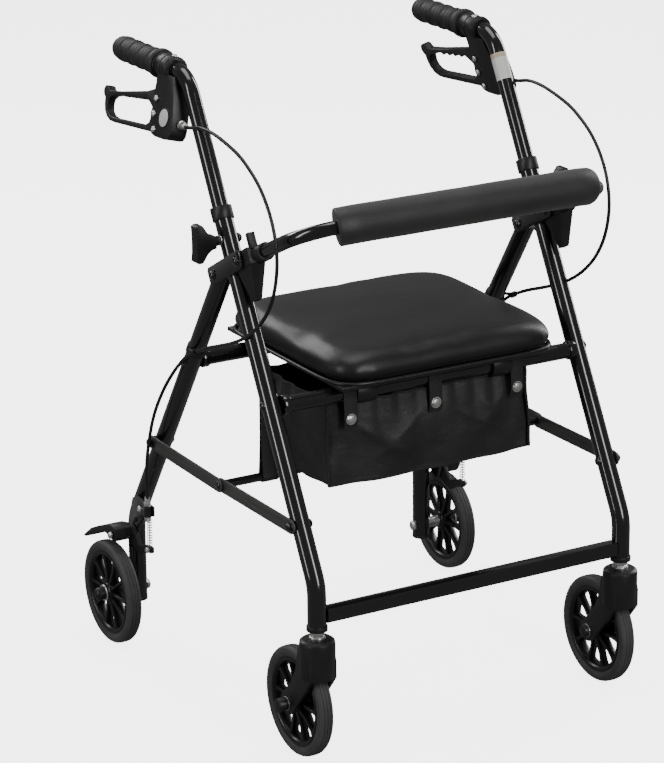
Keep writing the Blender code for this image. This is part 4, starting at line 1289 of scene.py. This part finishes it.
def label_wrap():
    """A plain blank label wrapped round the left handle tube under its bend."""
    for name, low, high, look in (("white", 0.812, 0.840, LABEL_WHITE), ("tan", 0.840, 0.846, LABEL_TAN)):
        start, end = at(LEG_X, leg_y(low), low), at(LEG_X, leg_y(high), high)
        made = turned(
            [(HANDLE_R + 0.0003, (end - start).length), (HANDLE_R + 0.0003, 0), (HANDLE_R - 0.0004, 0),
             (HANDLE_R - 0.0004, (end - start).length)], 40, start, LEG_UP,
        )
        piece(f"handle_label_{name}", made, "handle_left", "black_paint", look)


# ---- CAD nodes that stay ----
def keep_cad_nodes():
    for side in (-1, 1):
        tag = side_name(side)
        for node, slot, width in (
            ("hinge_bracket", "black_paint", 0.0007), ("leg_collar", "black_plastic", 0.0006),
            ("brake_housing", "black_plastic", 0.0020), ("brake_lever", "black_plastic", 0.0022),
            ("height_knob", "black_plastic", 0.0024), ("cable_adjuster", "bright_steel", 0.0003),
            ("backrest_socket", "black_plastic", 0.0010), ("seat_hinge_clip", "black_plastic", 0.0008),
            ("brake_bracket", "black_paint", 0.0004), ("brake_arm", "black_plastic", 0.0010),
            ("front_brace", "brace_paint", 0.0005), ("rear_brace", "brace_paint", 0.0005),
            ("caster_fork", "black_plastic", 0.0012),
        ):
            soften(f"{node}_{tag}", slot, width)
    soften("seat_board", "black_plastic", 0.0012)


# ---- floor and light ----
def area_light(name, place, target, size, power, colour=(1, 1, 1)):
    data = bpy.data.lights.new(name, "AREA")
    data.shape = "RECTANGLE"
    data.size, data.size_y = size
    data.energy = power
    data.color = colour
    lamp = bpy.data.objects.new(name, data)
    bpy.context.scene.collection.objects.link(lamp)
    lamp.location = place
    lamp.rotation_euler = (Vector(target) - Vector(place)).to_track_quat("-Z", "Y").to_euler()


def stage():
    mesh = bpy.data.meshes.new("floor")
    work = bmesh.new()
    bmesh.ops.create_grid(work, x_segments=1, y_segments=1, size=40)
    work.to_mesh(mesh)
    work.free()
    floor = linked("floor", mesh)
    pale = shader("pale_floor", (0.90, 0.90, 0.90), 0.7)
    vary_colour(pale, noise_field(pale, 0.6), (0.895, 0.895, 0.895), (0.905, 0.905, 0.905))
    principled = pale.node_tree.nodes["Principled BSDF"]
    principled.inputs["Emission Color"].default_value = (1, 1, 1, 1)
    principled.inputs["Emission Strength"].default_value = 4.0
    mesh.materials.append(pale)
    floor.visible_glossy = False
    floor.visible_diffuse = False
    world = bpy.data.worlds.new("studio")
    bpy.context.scene.world = world
    world.use_nodes = True
    background = world.node_tree.nodes["Background"]
    background.inputs["Color"].default_value = (1, 1, 1, 1)
    background.inputs["Strength"].default_value = 0.16
    aim = (0, 0, 0.45)
    area_light("key_softbox", (0.2, -3.4, 2.0), aim, (0.8, 2.6), 62)
    area_light("left_strip", (-3.2, -0.2, 1.6), aim, (0.5, 2.6), 36)
    area_light("side_strip", (2.9, 0.6, 1.6), aim, (0.5, 2.6), 50)
    area_light("back_strip", (-0.6, 3.0, 2.4), aim, (2.4, 0.6), 42)
    area_light("top_softbox", (0, 0.3, 3.2), aim, (1.6, 1.6), 24)


make_camera()
for this_side in (-1, 1):
    frame_tubes(this_side)
    grip(this_side)
    housing_details(this_side)
    knob_details(this_side)
    cables(this_side)
    leg_clip(this_side)
    brake_details(this_side)
    fasteners(this_side)
cross_tubes()
label_wrap()
wheels()
backrest()
seat()
bag()
bag_straps()
pull_strap()
keep_cad_nodes()
stage()
